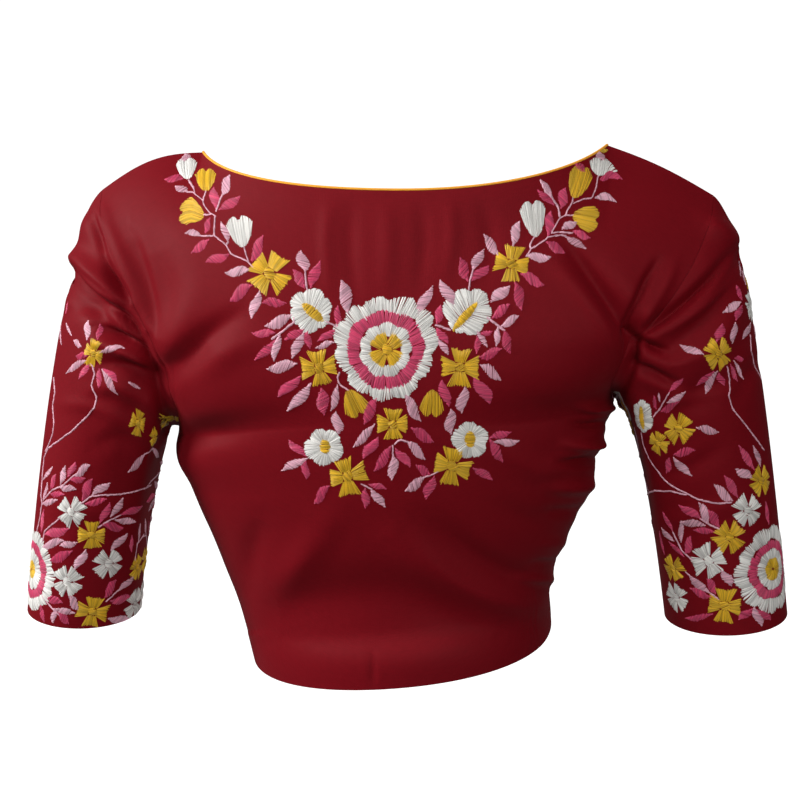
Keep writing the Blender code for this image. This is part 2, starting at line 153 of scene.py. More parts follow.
# The photo's smaller creases: height in mm, width on the left and on the right of the line's own direction,
# and places along it, in the photo's pixels. Edge creases run on over the outline, so both sides of the cloth
# have them. The front's are guesses, seen in a picture from a like place in front.
EDGE_CREASES = (
    (-11.0, 4, 9, 54, 258, 66, 266, 74, 271, 80, 280, 88, 290, 98, 299, 111, 307, 124, 316, 134, 327),
    (4.0, 9, 4.5, 58, 250, 76, 257, 94, 273, 110, 288, 126, 302),
    (-3.6, 3.5, 5, 95, 214, 98, 230, 102, 245, 106, 258),
    (-7.0, 4, 5, 106, 260, 112, 273, 121, 288, 128, 300),
    (2.4, 6, 12, 102, 206, 114, 240, 126, 268, 138, 300, 144, 326),
    (-11.0, 8, 8, 122, 312, 137, 338, 151, 370, 163, 402, 172, 432),
    (-8.0, 6, 8, 637, 316, 635, 344, 630, 372, 620, 392),
    (-8.0, 4, 8, 94, 326, 112, 334, 126, 341, 142, 354),
    (2.6, 6, 6, 92, 342, 112, 348, 130, 358, 146, 372),
    (-7.0, 7, 8, 100, 362, 124, 368, 146, 382, 160, 404),
    (2.0, 8, 8, 84, 392, 112, 388, 142, 404),
    (-1.8, 8, 8, 60, 318, 84, 306, 104, 312),
    (2.6, 12, 14, 62, 232, 84, 226, 104, 214),
    (1.6, 7, 7, 60, 404, 90, 406, 128, 424),
    (-1.8, 8, 10, 96, 446, 116, 438, 150, 452),
    (1.4, 10, 10, 50, 500, 80, 512, 120, 508),
    (-5.0, 6, 9, 566, 240, 588, 268, 604, 290, 621, 317, 633, 345),
    (2.2, 9, 8, 552, 262, 580, 292, 602, 322, 618, 352),
    (3.6, 10, 10, 706, 220, 724, 232, 746, 248),
    (-5.5, 5, 5, 658, 262, 648, 280, 640, 298, 634, 318, 635, 342),
    (2.0, 6, 6, 676, 262, 664, 288, 652, 308, 642, 326),
    (-6.5, 4, 7, 732, 254, 716, 275, 700, 291, 680, 308, 656, 325, 642, 334),
    (2.6, 5, 7, 744, 266, 726, 288, 704, 308, 676, 326, 652, 338),
    (-7.0, 4, 6, 636, 336, 650, 345, 668, 352),
    (-7.0, 5, 6, 634, 366, 654, 374, 678, 384),
    (2.2, 6, 7, 644, 356, 670, 363, 704, 350),
    (-2.0, 8, 8, 770, 350, 752, 372, 736, 404),
    (1.8, 7, 7, 656, 404, 698, 398, 742, 386),
    (-2.0, 9, 9, 650, 474, 690, 468, 722, 448),
    (1.6, 8, 8, 660, 524, 700, 514, 746, 502),
    (5.4, 4.5, 4.5, 622, 405, 602, 409, 578, 408),
    (-4.4, 4, 4, 612, 422, 594, 425, 574, 424),
    (5.8, 5, 5, 616, 441, 594, 444, 564, 444),
    (-5.2, 4.5, 4.5, 608, 458, 586, 461, 558, 462),
    (5.0, 7, 7, 604, 482, 580, 487, 548, 488),
    (-3.2, 6, 6, 596, 508, 572, 512, 546, 512),
    (1.8, 6, 6, 580, 540, 560, 544, 538, 546),
    (-3.0, 5, 5, 572, 560, 552, 564, 532, 564),
    (3.4, 5, 5, 570, 576, 548, 580, 520, 582),
)
BACK_CREASES = (
    (-5.0, 7, 14, 132, 236, 138, 262, 144, 292, 151, 330),
    (-4.2, 10, 10, 150, 382, 180, 357, 214, 329, 242, 312),
    (2.6, 10, 15, 150, 408, 186, 382, 228, 352, 262, 336),
    (-2.4, 12, 12, 170, 456, 200, 438, 240, 432),
    (1.2, 13, 14, 340, 506, 322, 540, 292, 580, 266, 606),
    (-2.4, 12, 12, 262, 520, 250, 560, 246, 600),
    (1.6, 8, 9, 412, 522, 432, 556, 460, 584, 506, 604, 552, 610),
    (-3.0, 13, 9, 440, 524, 476, 556, 520, 580, 556, 590),
    (-7.5, 40, 22, 276, 634, 340, 636, 400, 634, 460, 628, 540, 620),
    (1.0, 8, 16, 276, 650, 340, 656, 420, 654, 500, 640),
    (-1.2, 3, 3, 372, 652, 373, 668, 373, 684),
    (1.3, 7, 7, 330, 195, 326, 240, 330, 292),
    (-1.4, 8, 8, 352, 195, 350, 245, 356, 302),
    (1.3, 9, 9, 386, 195, 388, 240, 386, 292),
    (-1.3, 8, 8, 420, 195, 424, 240, 420, 288),
    (1.2, 7, 7, 448, 192, 452, 230, 446, 278),
    (-1.4, 9, 9, 480, 196, 490, 236, 484, 280),
    (-0.8, 11, 11, 520, 400, 556, 412, 604, 404),
    (2.0, 12, 12, 500, 450, 540, 470, 590, 470),
    (-1.8, 12, 12, 492, 500, 530, 520, 572, 524),
)
FRONT_CREASES = (
    (-3.2, 10, 12, 150, 382, 190, 366, 240, 352),
    (2.4, 12, 12, 156, 412, 200, 398, 250, 392),
    (-2.8, 12, 10, 612, 396, 566, 372, 520, 356),
    (2.4, 10, 10, 606, 430, 560, 414, 512, 404),
    (-2.6, 9, 12, 300, 470, 288, 520, 270, 580),
    (2.4, 9, 9, 326, 476, 322, 530, 310, 596),
    (-2.8, 9, 9, 494, 470, 506, 530, 524, 588),
    (2.2, 9, 9, 468, 476, 474, 530, 488, 592),
    (-4.0, 14, 10, 270, 620, 340, 628, 400, 630, 460, 628, 536, 616),
    (-1.6, 9, 9, 216, 250, 232, 300, 250, 340),
    (1.6, 9, 9, 250, 262, 262, 306, 280, 344),
    (-1.6, 9, 9, 578, 250, 562, 300, 544, 340),
    (-1.2, 2.6, 2.6, 306, 686, 314, 630, 322, 560),
    (-1.2, 2.6, 2.6, 486, 678, 482, 622, 474, 556),
)


def track(columns, name, v):
    """A named column's value at v, on cubics through its rows that have the rows' own mean slopes there."""
    stations = next(iter(columns.values()))
    values = columns[name]
    slopes = np.gradient(values, stations)
    low = np.clip(np.searchsorted(stations, v, side="right") - 1, 0, len(stations) - 2)
    span = stations[low + 1] - stations[low]
    t = (v - stations[low]) / span
    return (
        (2 * t**3 - 3 * t**2 + 1) * values[low]
        + (t**3 - 2 * t**2 + t) * span * slopes[low]
        + (3 * t**2 - 2 * t**3) * values[low + 1]
        + (t**3 - t**2) * span * slopes[low + 1]
    )


def stack(x, y, z):
    """Points from three arrays of like or unlike shape."""
    return np.stack(np.broadcast_arrays(x, y, z), axis=-1).astype(float)


def bezier(p0, p1, p2, p3, t):
    """(1-t)^3 p0 + 3t(1-t)^2 p1 + 3t^2(1-t) p2 + t^3 p3."""
    t = np.asarray(t)[..., None]
    return (1 - t) ** 3 * p0 + 3 * t * (1 - t) ** 2 * p1 + 3 * t**2 * (1 - t) * p2 + t**3 * p3


def ease(t):
    """3t^2 - 2t^3 between 0 and 1, flat outside."""
    t = np.clip(t, 0, 1)
    return t * t * (3 - 2 * t)


def unit(vectors):
    """Vectors divided by their lengths."""
    return vectors / np.linalg.norm(vectors, axis=-1, keepdims=True)


def edge_track(rows, name, v):
    """A panel's own edge column above the underarm, and the mean of back and front along the side seam."""
    shared = (track(BACK_SECTIONS, name, v) + track(FRONT_SECTIONS, name, v)) / 2
    return np.where(v > UNDERARM, shared, track(rows, name, v))


def section(face, side, u, v):
    """A cubic from the middle of the body, u = 0, to its edge, u = 1, on the section at v."""
    rows = BACK_SECTIONS if face == "back" else FRONT_SECTIONS
    forwards = 1 if face == "back" else -1
    x, y, z = (edge_track(rows, name, v) for name in ("edge_x", "edge_y", "edge_z"))
    x = x + track(SIDE_SHIFTS, side, v)
    z = z + UNDERARM_LIFT[side] * np.exp(-(((v - UNDERARM) / UNDERARM_SPREAD) ** 2))
    lean = HEM_LEAN * SIDES[side] * ease((v - UNDERARM) / (1 - UNDERARM))
    turn = np.radians(track(rows, "turn", v))
    heading = unit(stack(np.cos(turn), forwards * np.sin(turn), -track(rows, "dip", v)))
    mid = stack(0, track(rows, "mid_y", v), track(rows, "mid_z", v))
    reach = track(rows, "mid_reach", v)
    mid_handle = mid + stack(reach, 0, lean * reach)
    edge = stack(x, y, z + lean * x)
    edge_handle = edge - heading * track(rows, "edge_reach", v)[..., None]
    return bezier(mid, mid_handle, edge_handle, edge, u)


def top_edge(face, side, u):
    """Neckline to the neck point, then a straight shoulder seam raised by arch * sin(pi * share along it)."""
    rows = BACK_SECTIONS if face == "back" else FRONT_SECTIONS
    mid = np.array([0.0, rows["mid_y"][0], rows["mid_z"][0]])
    point = NECK_POINTS[side]
    first, second = NECK_HANDLES[face]
    neck = bezier(mid, mid + first, point + second, point, np.clip(u / NECK_SHARE, 0, 1))
    along = np.clip((u - NECK_SHARE) / (1 - NECK_SHARE), 0, 1)
    seam = point + (SHOULDER_TIP - point) * along[..., None]
    seam[..., 2] += SHOULDER_ARCH[side] * np.sin(math.pi * along)
    return np.where(u[..., None] < NECK_SHARE, neck, seam)


def cups(points):
    """Depth * exp(-(r^2)^1.25), r the distance from the cup's middle in its own widths and heights."""
    across = (points[..., 0] - CUP_X) / CUP_WIDTH
    below = np.where(points[..., 2] < CUP_Z, CUP_UNDERSIDE, 1.0)
    down = (points[..., 2] - CUP_Z) / (CUP_HEIGHT * below)
    return CUP_DEPTH * np.exp(-((across**2 + down**2) ** 1.25))


def fold_lift(points, folds):
    """Sum over folds of height * fade * exp(-(distance / width)^2), seen along Y, fading at both ends."""
    lift = np.zeros(points.shape[:-1])
    flat = points[..., [0, 2]]
    for x0, z0, x1, z1, bow, width, height in zip(*folds.values()):
        start, end = np.array([x0, z0]), np.array([x1, z1])
        run = end - start
        side = np.array([-run[1], run[0]]) / np.hypot(*run)
        line = start + run * FOLD_SAMPLES[:, None] + side * bow * np.sin(math.pi * FOLD_SAMPLES)[:, None]
        away = np.linalg.norm(flat[..., None, :] - line, axis=-1)
        nearest = away.argmin(axis=-1)
        fade = np.sin(math.pi * (0.12 + 0.76 * FOLD_SAMPLES))[nearest]
        lift += height * fade * np.exp(-((away.min(axis=-1) / width) ** 2))
    return lift


def smooth_body(face, s, v):
    """The body at s, from the left edge, -1, to the right edge, 1, before folds."""
    s, v = np.broadcast_arrays(np.asarray(s, float), np.asarray(v, float))
    u = np.abs(s)
    fade = (1 - ease(v / TOP_FADE))[..., None]
    halves = {}
    for side in SIDES:
        lift = top_edge(face, side, u) - section(face, side, u, np.zeros_like(v))
        halves[side] = section(face, side, u, v) + lift * fade
    shape = np.where((s >= 0)[..., None], halves["right"], halves["left"])
    if face == "front":
        shape[..., 1] += cups(shape)
    shape[..., 0] *= np.where(s < 0, -1, 1)
    return shape


def picture(points):
    """Where points show in the photo, in pixels right and down."""
    ahead = unit(AIM - EYE)
    right = unit(np.cross(ahead, [0, 0, 1]))
    above = np.cross(right, ahead)
    away = points - EYE
    depth = away @ ahead
    across = IMAGE_CENTRE[0] + FOCUS * (away @ right) / depth
    down = IMAGE_CENTRE[1] - FOCUS * (away @ above) / depth
    return np.stack([across, down], axis=-1)


def creases(points, normal, rows):
    """Sum of height * fade * exp(-(distance / width)^2) over smooth lines in the picture.

    Each side of a line has its own width, and the sum fades out on cloth that faces away from the camera.
    """
    pixels = picture(points)
    lift = np.zeros(points.shape[:-1])
    for height, left, right, *places in rows:
        knots = np.array(places, float).reshape(-1, 2)
        along = np.concatenate([[0], np.cumsum(np.hypot(*np.diff(knots, axis=0).T))])
        line = {"t": along / along[-1], "x": knots[:, 0], "y": knots[:, 1]}
        samples = np.stack([track(line, axis, CREASE_SAMPLES) for axis in "xy"], axis=-1)
        reach = 3 * max(left, right)
        low, high = samples.min(axis=0) - reach, samples.max(axis=0) + reach
        near = np.all((pixels > low) & (pixels < high), axis=-1)
        away = pixels[near][:, None] - samples
        distance = np.hypot(away[..., 0], away[..., 1])
        nearest_sample = distance.argmin(axis=-1)
        heading = np.gradient(samples, axis=0)[nearest_sample]
        beside = away[np.arange(len(away)), nearest_sample]
        turned = heading[:, 0] * beside[:, 1] - heading[:, 1] * beside[:, 0]
        width = np.where(turned > 0, right, left)
        fade = np.sin(math.pi * (0.06 + 0.88 * CREASE_SAMPLES))[nearest_sample] ** 0.8
        lift[near] += height * fade * np.exp(-((distance.min(axis=-1) / width) ** 2))
    seen = ease(0.5 + np.sum(normal * unit(EYE - points), axis=-1) * 2)
    return lift * seen


def all_creases(points, normal):
    """Creases seen from behind, and from a like place in front, which is the picture with Y turned over."""
    over = np.array([1, -1, 1])
    behind = creases(points, normal, EDGE_CREASES + BACK_CREASES)
    return behind + creases(points * over, normal * over, EDGE_CREASES + FRONT_CREASES)


# Sleeves leave their armholes along these headings, and end in these cuffs; the armholes' seams need both
SLEEVE_HEADS = table(
    "round out back down reach end_reach",
    (0.000, 0.80, 0.00, 0.60, 30, 92),
    (0.125, 0.86, 0.14, 0.48, 30, 92),
    (0.250, 0.92, 0.16, 0.34, 34, 84),
    (0.375, 0.96, 0.10, 0.26, 28, 72),
    (0.500, 0.98, 0.00, 0.20, 16, 60),
    (0.625, 0.96, -0.10, 0.26, 28, 72),
    (0.750, 0.92, -0.16, 0.34, 32, 84),
    (0.875, 0.86, -0.14, 0.48, 30, 92),
    (1.000, 0.80, 0.00, 0.60, 30, 92),
)
CUFFS = {
    "right": dict(centre=(216.5, 3.0, -309.5), half=(40.0, 41.0), drop=-0.08, hang=(0.145, 0.0, -0.989)),
    "left": dict(centre=(222.5, 3.0, -322.0), half=(38.5, 40.0), drop=-0.05, hang=(0.12, 0.0, -0.993)),
}


def smooth_sleeve(side, turn, t):
    """A cubic from the armhole at turn to the cuff's ellipse at the same turn."""
    turn, t = np.broadcast_arrays(np.asarray(turn, float) % 1, np.asarray(t, float))
    v = UNDERARM * (1 - np.abs(1 - 2 * turn))
    edge = np.ones_like(turn) * SIDES[side]
    on_back = (turn < 0.5)[..., None]
    armhole = np.where(on_back, smooth_body("back", edge, v), smooth_body("front", edge, v))
    armhole[..., 0] *= SIDES[side]
    heads = {name: track(SLEEVE_HEADS, name, turn) for name in SLEEVE_HEADS}
    heading = unit(stack(heads["out"], -heads["back"], -heads["down"]))
    cuff = CUFFS[side]
    angle = 2 * math.pi * turn
    out = cuff["half"][0] * np.cos(angle)
    hem = stack(
        cuff["centre"][0] + out,
        cuff["centre"][1] - cuff["half"][1] * np.sin(angle),
        cuff["centre"][2] - cuff["drop"] * out,
    )
    near = armhole + heading * heads["reach"][..., None]
    far = hem - np.array(cuff["hang"]) * heads["end_reach"][..., None]
    shape = bezier(armhole, near, far, hem, t)
    shape[..., 0] *= SIDES[side]
    return shape


def outward(surface, a, b, away_from):
    """Unit cross product of surface(a, b)'s two slopes, turned away from a point at the same height."""
    across = surface(a + NORMAL_STEP, b) - surface(a - NORMAL_STEP, b)
    down = surface(a, np.clip(b + NORMAL_STEP, 0, 1)) - surface(a, np.clip(b - NORMAL_STEP, 0, 1))
    normal = unit(np.cross(across, down))
    facing = np.sum(normal * (surface(a, b) - away_from), axis=-1, keepdims=True)
    return normal * np.where(facing < 0, -1, 1)


def body_normal(face, s, v):
    """Normals of the body, turned away from an upright line through it."""
    inside = np.clip(s, -1 + NORMAL_STEP, 1 - NORMAL_STEP)
    points = smooth_body(face, inside, v)
    axis = stack(0, TORSO_AXIS_Y, points[..., 2])
    return outward(lambda a, b: smooth_body(face, a, b), inside, v, axis)


def sleeve_normal(side, turn, t):
    """Normals of a sleeve, turned away from the line down its middle."""
    top = smooth_sleeve(side, np.linspace(0, 1, 16, endpoint=False), 0.0).mean(axis=0)
    centre = np.array(CUFFS[side]["centre"]) * (SIDES[side], 1, 1)
    middle = top + (centre - top) * np.asarray(t)[..., None]
    return outward(lambda a, b: smooth_sleeve(side, a, b), turn, t, middle)


def armhole_normal(side, turn):
    """The mean of body and sleeve normals, in which both are thick at their seam."""
    v = UNDERARM * (1 - np.abs(1 - 2 * turn))
    edge = np.ones_like(turn) * SIDES[side]
    both = np.isclose(turn % 0.5, 0) | np.isclose(turn % 0.5, 0.5)
    share = np.where(both, 0.5, turn < 0.5)[..., None]
    body = share * body_normal("back", edge, v) + (1 - share) * body_normal("front", edge, v)
    return unit(body + sleeve_normal(side, turn, np.full_like(turn, NORMAL_STEP)))


def body_edges(face, s, v):
    """Normals of a body grid, with each seam's shared normal in its edge columns and on the shoulder."""
    normal = body_normal(face, s, v)
    for column, (name, sign) in zip((-1, 0), SIDES.items()):
        down, edge = v[:, column], np.full(len(v), float(sign))
        turn = np.clip(down / UNDERARM / 2, 0, 0.5)
        arm = armhole_normal(name, turn if face == "back" else 1 - turn)
        seam = unit(body_normal("back", edge, down) + body_normal("front", edge, down))
        if np.isclose(s[0, column], sign):
            normal[:, column] = np.where((down <= UNDERARM)[:, None], arm, seam)
    other = body_normal("front" if face == "back" else "back", s[0], v[0])
    on_shoulder = (np.abs(s[0]) >= NECK_SHARE) & (np.abs(s[0]) < 1)
    normal[0] = np.where(on_shoulder[:, None], unit(normal[0] + other), normal[0])
    return normal


def shrink_from_edges(points, edges):
    """Moves the named edges of a grid half a seam gap towards their neighbours."""
    moves = {
        "left": (np.s_[:, 0], np.s_[:, 1]),
        "right": (np.s_[:, -1], np.s_[:, -2]),
        "top": (np.s_[0], np.s_[1]),
    }
    points = points.copy()
    for edge, width in edges.items():
        here, inside = moves[edge]
        step = unit(points[inside] - points[here])
        points[here] += step * (SEAM_GAP / 2) * np.broadcast_to(width, step.shape[0])[:, None]
    return points


def mesh_object(name, points, quads, material, uv=None):
    """A smooth mesh of quads from arrays, with a place on the flat cloth for each point."""
    mesh = bpy.data.meshes.new(name)
    mesh.vertices.add(len(points))
    mesh.vertices.foreach_set("co", (points * MM).astype(np.float32).ravel())
    mesh.loops.add(quads.size)
    mesh.loops.foreach_set("vertex_index", quads.astype(np.int32).ravel())
    mesh.polygons.add(len(quads))
    mesh.polygons.foreach_set("loop_start", np.arange(0, quads.size, 4, dtype=np.int32))
    if uv is not None:
        layer = mesh.uv_layers.new(name="cloth")
        layer.uv.foreach_set("vector", (uv[quads.ravel()] * MM).astype(np.float32).ravel())
    mesh.update(calc_edges=True)
    mesh.validate()
    mesh.shade_smooth()
    mesh.materials.append(material)
    piece = bpy.data.objects.new(name, mesh)
    bpy.context.scene.collection.objects.link(piece)
    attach(piece, "root")
    return piece


def shell(name, outer, normal, flat, material, ring=False):
    """A closed wall between the outer grid and outer - normal * CLOTH.

    A ring's last column joins its first. Faces are turned over when the enclosed volume is negative.
    """
    rows, columns = outer.shape[:2]
    count = rows * columns
    at = np.arange(count).reshape(rows, columns)
    if ring:
        at = np.concatenate([at, at[:, :1]], axis=1)
    quads = np.stack([at[:-1, :-1], at[1:, :-1], at[1:, 1:], at[:-1, 1:]], axis=-1).reshape(-1, 4)
    faces = [quads, quads[:, ::-1] + count]
    borders = [at[0][::-1], at[-1]]
    if not ring:
        borders += [at[:, 0], at[:, -1][::-1]]
    for border in borders:
        here, after = border[:-1], border[1:]
        faces.append(np.stack([after, here, here + count, after + count], axis=-1))
    faces = np.concatenate(faces)
    points = np.concatenate([outer.reshape(-1, 3), (outer - normal * CLOTH).reshape(-1, 3)])
    corners = points[faces]
    volume = np.sum(corners[:, 0] * np.cross(corners[:, 1], corners[:, 2]))
    volume += np.sum(corners[:, 0] * np.cross(corners[:, 2], corners[:, 3]))
    faces = faces if volume > 0 else faces[:, ::-1]
    uv = np.concatenate([flat.reshape(-1, 2)] * 2)
    piece = mesh_object(name, points, faces, material, uv)
    piece.data.set_sharp_from_angle(angle=math.radians(SHARP_DEGREES))
    return piece


def body_rows():
    """Row positions of every body panel, one of them at the underarm."""
    above = np.linspace(0, UNDERARM, BODY_ROWS[0] + 1)
    return np.concatenate([above, np.linspace(UNDERARM, 1, BODY_ROWS[1] + 1)[1:]])


def spread(first, last, steps):
    """Steps from first, left out, to last, for numbers or for one value for each row."""
    share = np.arange(1, steps + 1) / steps
    first, last = np.asarray(first)[..., None], np.asarray(last)[..., None]
    return first + (last - first) * share


def arcs(points, axis, zero):
    """Length along a grid's rows or columns from the line numbered zero."""
    step = np.linalg.norm(np.diff(points, axis=axis), axis=-1)
    start = np.zeros_like(np.take(step, [0], axis=axis))
    length = np.concatenate([start, np.cumsum(step, axis=axis)], axis=axis)
    return length - np.take(length, [zero], axis=axis)


def plain_material(name, **settings):
    """A new material, its shader with the settings given, underscores for the blanks in their names."""
    material = bpy.data.materials.new(name)
    material.use_nodes = True
    shader = material.node_tree.nodes["Principled BSDF"]
    for setting, value in settings.items():
        shader.inputs[setting.replace("_", " ")].default_value = value
    return material, shader


def flat_noise(material, detail, across, along):
    """Noise on the flat cloth, with so many grains to the metre across and along it."""
    nodes, links = material.node_tree.nodes, material.node_tree.links
    place = nodes.new("ShaderNodeUVMap")
    place.uv_map = "cloth"
    scale = nodes.new("ShaderNodeMapping")
    scale.inputs["Scale"].default_value = (across, along, 1)
    noise = nodes.new("ShaderNodeTexNoise")
    noise.inputs["Scale"].default_value = 1.0
    noise.inputs["Detail"].default_value = detail
    links.new(place.outputs["UV"], scale.inputs["Vector"])
    links.new(scale.outputs["Vector"], noise.inputs["Vector"])
    return noise.outputs["Fac"]


def raise_by(material, shader, height, strength, distance):
    """Bump on a shader from a height."""
    nodes, links = material.node_tree.nodes, material.node_tree.links
    relief = nodes.new("ShaderNodeBump")
    relief.inputs["Strength"].default_value = strength
    relief.inputs["Distance"].default_value = distance
    links.new(height, relief.inputs["Height"])
    links.new(relief.outputs["Normal"], shader.inputs["Normal"])


def dyed_cloth(name, colour, roughness, sheen, bump):
    """Yarn-dyed cloth: two crossed sets of fine threads as bump, and now and then a thicker slub as shade."""
    material, shader = plain_material(
        name,
        Roughness=roughness,
        Sheen_Weight=sheen,
        Sheen_Roughness=0.45,
        Sheen_Tint=(1.0, 0.35, 0.38, 1),
        Specular_IOR_Level=0.09,
    )
    nodes, links = material.node_tree.nodes, material.node_tree.links
    both = nodes.new("ShaderNodeMath")
    both.operation = "ADD"
    links.new(flat_noise(material, 2.0, THREADS_ACROSS, THREADS_ALONG), both.inputs[0])
    links.new(flat_noise(material, 2.0, THREADS_ALONG, THREADS_ACROSS), both.inputs[1])
    raise_by(material, shader, both.outputs[0], bump, 0.0002)
    tint = nodes.new("ShaderNodeMix")
    tint.data_type = "RGBA"
    tint.inputs["A"].default_value = (*[(1 - SLUB_TINT) * c for c in colour], 1)
    tint.inputs["B"].default_value = (*[(1 + SLUB_TINT) * c for c in colour], 1)
    links.new(flat_noise(material, 3.0, *SLUBS), tint.inputs["Factor"])
    links.new(tint.outputs["Result"], shader.inputs["Base Color"])
    return material


maroon = dyed_cloth("maroon_silk_cotton", (0.172, 0.0020, 0.0065), 0.60, 0.02, 0.4)

half = np.concatenate([spread(0, NECK_SHARE, BACK_COLUMNS[0]), spread(NECK_SHARE, 1, BACK_COLUMNS[1])])
back_s, back_v = np.meshgrid(np.concatenate([-half[::-1], [0], half]), body_rows())
back_smooth = smooth_body("back", back_s, back_v)
back_normal = body_edges("back", back_s, back_v)
back_calm = ease(back_v / TOP_CALM) * ease((1 - np.abs(back_s)) / SEAM_FADE)
back_lift = fold_lift(back_smooth, BACK_FOLDS) * back_calm
back_lift = back_lift + all_creases(back_smooth, back_normal) * ease(back_v / TOP_CALM)
back_points = back_smooth + back_normal * back_lift[..., None]
on_shoulders = (np.abs(back_s[0]) >= NECK_SHARE).astype(float)
back_points = shrink_from_edges(back_points, {"left": 1, "right": 1, "top": on_shoulders})
middle = back_s.shape[1] // 2
back_flat = np.stack([arcs(back_points, 1, middle), -arcs(back_points, 0, 0)], axis=-1)
back = shell("back", back_points, back_normal, back_flat, maroon)
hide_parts("back_panel")

# Fronts
# Two pieces cut like the back with a lower neckline, shaped over the bust, hooked down the middle. The right
# one laps over the left one. The photo doesn't show them, so they have the part's own plain form and folds.
LAP_COLUMNS = {
    "right": ((-9, 1.7), (1, 1.7), (11, 1.7), (18, 0.0)),
    "left": ((10, -0.5), (1, -0.5), (-9, -0.5), (-16, 0.0)),
}
LAP_STEPS = 5
FRONT_COLUMNS = (44, 34)
FRONT_FOLDS = table(
    FOLD_NAMES,
    (150, -120, 118, -160, 4, 10, -3.0),
    (-150, -120, -118, -160, -4, 10, -3.0),
    (40, -262, 104, -250, 5, 10, -2.5),
    (-40, -262, -104, -250, -5, 10, -2.5),
)


def lap_share(distance, v):
    """s at a distance right of the front's middle: distance / (3 * the section's first handle)."""
    fade = 1 - ease(v / TOP_FADE)
    reach = track(FRONT_SECTIONS, "mid_reach", v)
    top_reach = NECK_HANDLES["front"][0][0] / NECK_SHARE
    return distance / (3 * (reach + (top_reach - FRONT_SECTIONS["mid_reach"][0]) * fade))


for side, sign in SIDES.items():
    v = body_rows()
    lap = np.array(LAP_COLUMNS[side], float)
    knots = np.arange(len(lap))
    fine = np.linspace(0, len(lap) - 1, LAP_STEPS * (len(lap) - 1) + 1)
    distances, rises = (np.interp(fine, knots, lap[:, i]) for i in range(2))
    lap_s = np.stack([lap_share(distance, v) for distance in distances], axis=-1)
    neck = spread(lap_s[:, -1], np.full_like(v, sign * NECK_SHARE), FRONT_COLUMNS[0])
    shoulder = spread(np.full_like(v, sign * NECK_SHARE), np.full_like(v, sign), FRONT_COLUMNS[1])
    s = np.concatenate([lap_s, neck, shoulder], axis=1)[:, ::sign]
    v = np.broadcast_to(v[:, None], s.shape)
    points, normal = smooth_body("front", s, v), body_edges("front", s, v)
    calm = ease(v / TOP_CALM) * ease((1 - np.abs(s)) / SEAM_FADE)
    rise = np.zeros(s.shape[1])
    rise[: len(rises)] = rises
    lift = fold_lift(points, FRONT_FOLDS) * calm + all_creases(points, normal) * ease(v / TOP_CALM)
    points = points + normal * (lift + rise[::sign])[..., None]
    on_shoulder = (np.abs(s[0]) > NECK_SHARE - 1e-6).astype(float)
    points = shrink_from_edges(points, {side: 1, "top": on_shoulder})
    flat = np.stack([arcs(points, 1, 0), -arcs(points, 0, 0)], axis=-1)
    front = shell(f"front_{side}", points, normal, flat, maroon)
    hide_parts(f"front_{side}_panel")

# Sleeves
# Each is one piece, eased into its armhole and closed by a seam under the arm. Its columns lie closer behind
# and its rows closer at the top, where the photo shows the folds. For the embroidery the grid runs on past
# its seam by some columns, too few for any seen place to be in it twice.
SLEEVE_COLUMNS = 196
SLEEVE_ROWS = 148
SLEEVE_OVERLAP = 33
SLEEVE_FINENESS = 0.055
SLEEVE_CROWDING = 1.25
SLEEVE_TOP_CALM = 0.1
CUFF_CALM = 0.08
SLEEVE_FOLDS = {
    "right": table(
        FOLD_NAMES,
        (214, -70, 160, -124, 6, 7, -4.5),
        (216, -90, 164, -140, 6, 9, 3.5),
        (176, -158, 214, -142, 4, 8, -3.5),
        (150, -146, 178, -178, 3, 8, -3.0),
    ),
    "left": table(
        FOLD_NAMES,
        (-220, -93, -158, -132, 5, 6, -6.5),
        (-222, -76, -166, -116, 5, 9, 5.0),
        (-176, -134, -152, -160, 2, 8, -5.0),
        (-186, -158, -150, -186, 4, 9, -3.0),
    ),
}
sleeves = {}
for side, sign in SIDES.items():
    share = np.linspace(-0.5, 0.5, SLEEVE_COLUMNS, endpoint=False)
    finer_behind = 0.25 + share - SLEEVE_FINENESS * np.sin(2 * math.pi * share)
    turn, t = np.meshgrid(finer_behind, np.linspace(0, 1, SLEEVE_ROWS) ** SLEEVE_CROWDING)
    points, normal = smooth_sleeve(side, turn, t), sleeve_normal(side, turn, t)
    normal[0] = armhole_normal(side, turn[0] % 1)
    facing_back = ease(0.5 - 1.5 * normal[..., 1])
    top_calm = ease(t / SLEEVE_TOP_CALM)
    lift = fold_lift(points, SLEEVE_FOLDS[side]) * top_calm * ease((1 - t) / 0.1) * facing_back
    v_at_armhole = UNDERARM * (1 - np.abs(1 - 2 * (turn % 1)))
    at_shoulder = (1 - ease(v_at_armhole / TOP_CALM)) * (1 - top_calm)
    lift = lift + all_creases(points, normal) * (1 - at_shoulder) * ease((1 - t) / CUFF_CALM)
    points = points + normal * lift[..., None]
    points = shrink_from_edges(points, {"top": 1})
    around, around_normal = (
        np.concatenate([grid[:, -SLEEVE_OVERLAP:], grid, grid[:, : SLEEVE_OVERLAP + 1]], axis=1)
        for grid in (points, normal)
    )
    across = arcs(around, 1, SLEEVE_COLUMNS // 2 + SLEEVE_OVERLAP) * -sign
    flat = np.stack([across, -arcs(around, 0, SLEEVE_ROWS - 1)], axis=-1)
    own = np.s_[:, SLEEVE_OVERLAP : SLEEVE_OVERLAP + SLEEVE_COLUMNS]
    sleeve = shell(f"{side}_sleeve_cloth", points, normal, flat[own], maroon, ring=True)
    sleeves[side] = (sleeve, (around, around_normal, flat))
    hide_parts(f"{side}_sleeve")

# Neck piping
# A bias strip of golden-orange silk, folded over a thin cord and sewn round the raw edge of the neckline. It
# is open only where the fronts close.
PIPING_RADIUS = 0.85
PIPING_SINK = 0.5
PIPING_BREAK = 3.0
PIPING_STEPS = 160
PIPING_SIDES = 12
PIPING_SIDE = 0.5


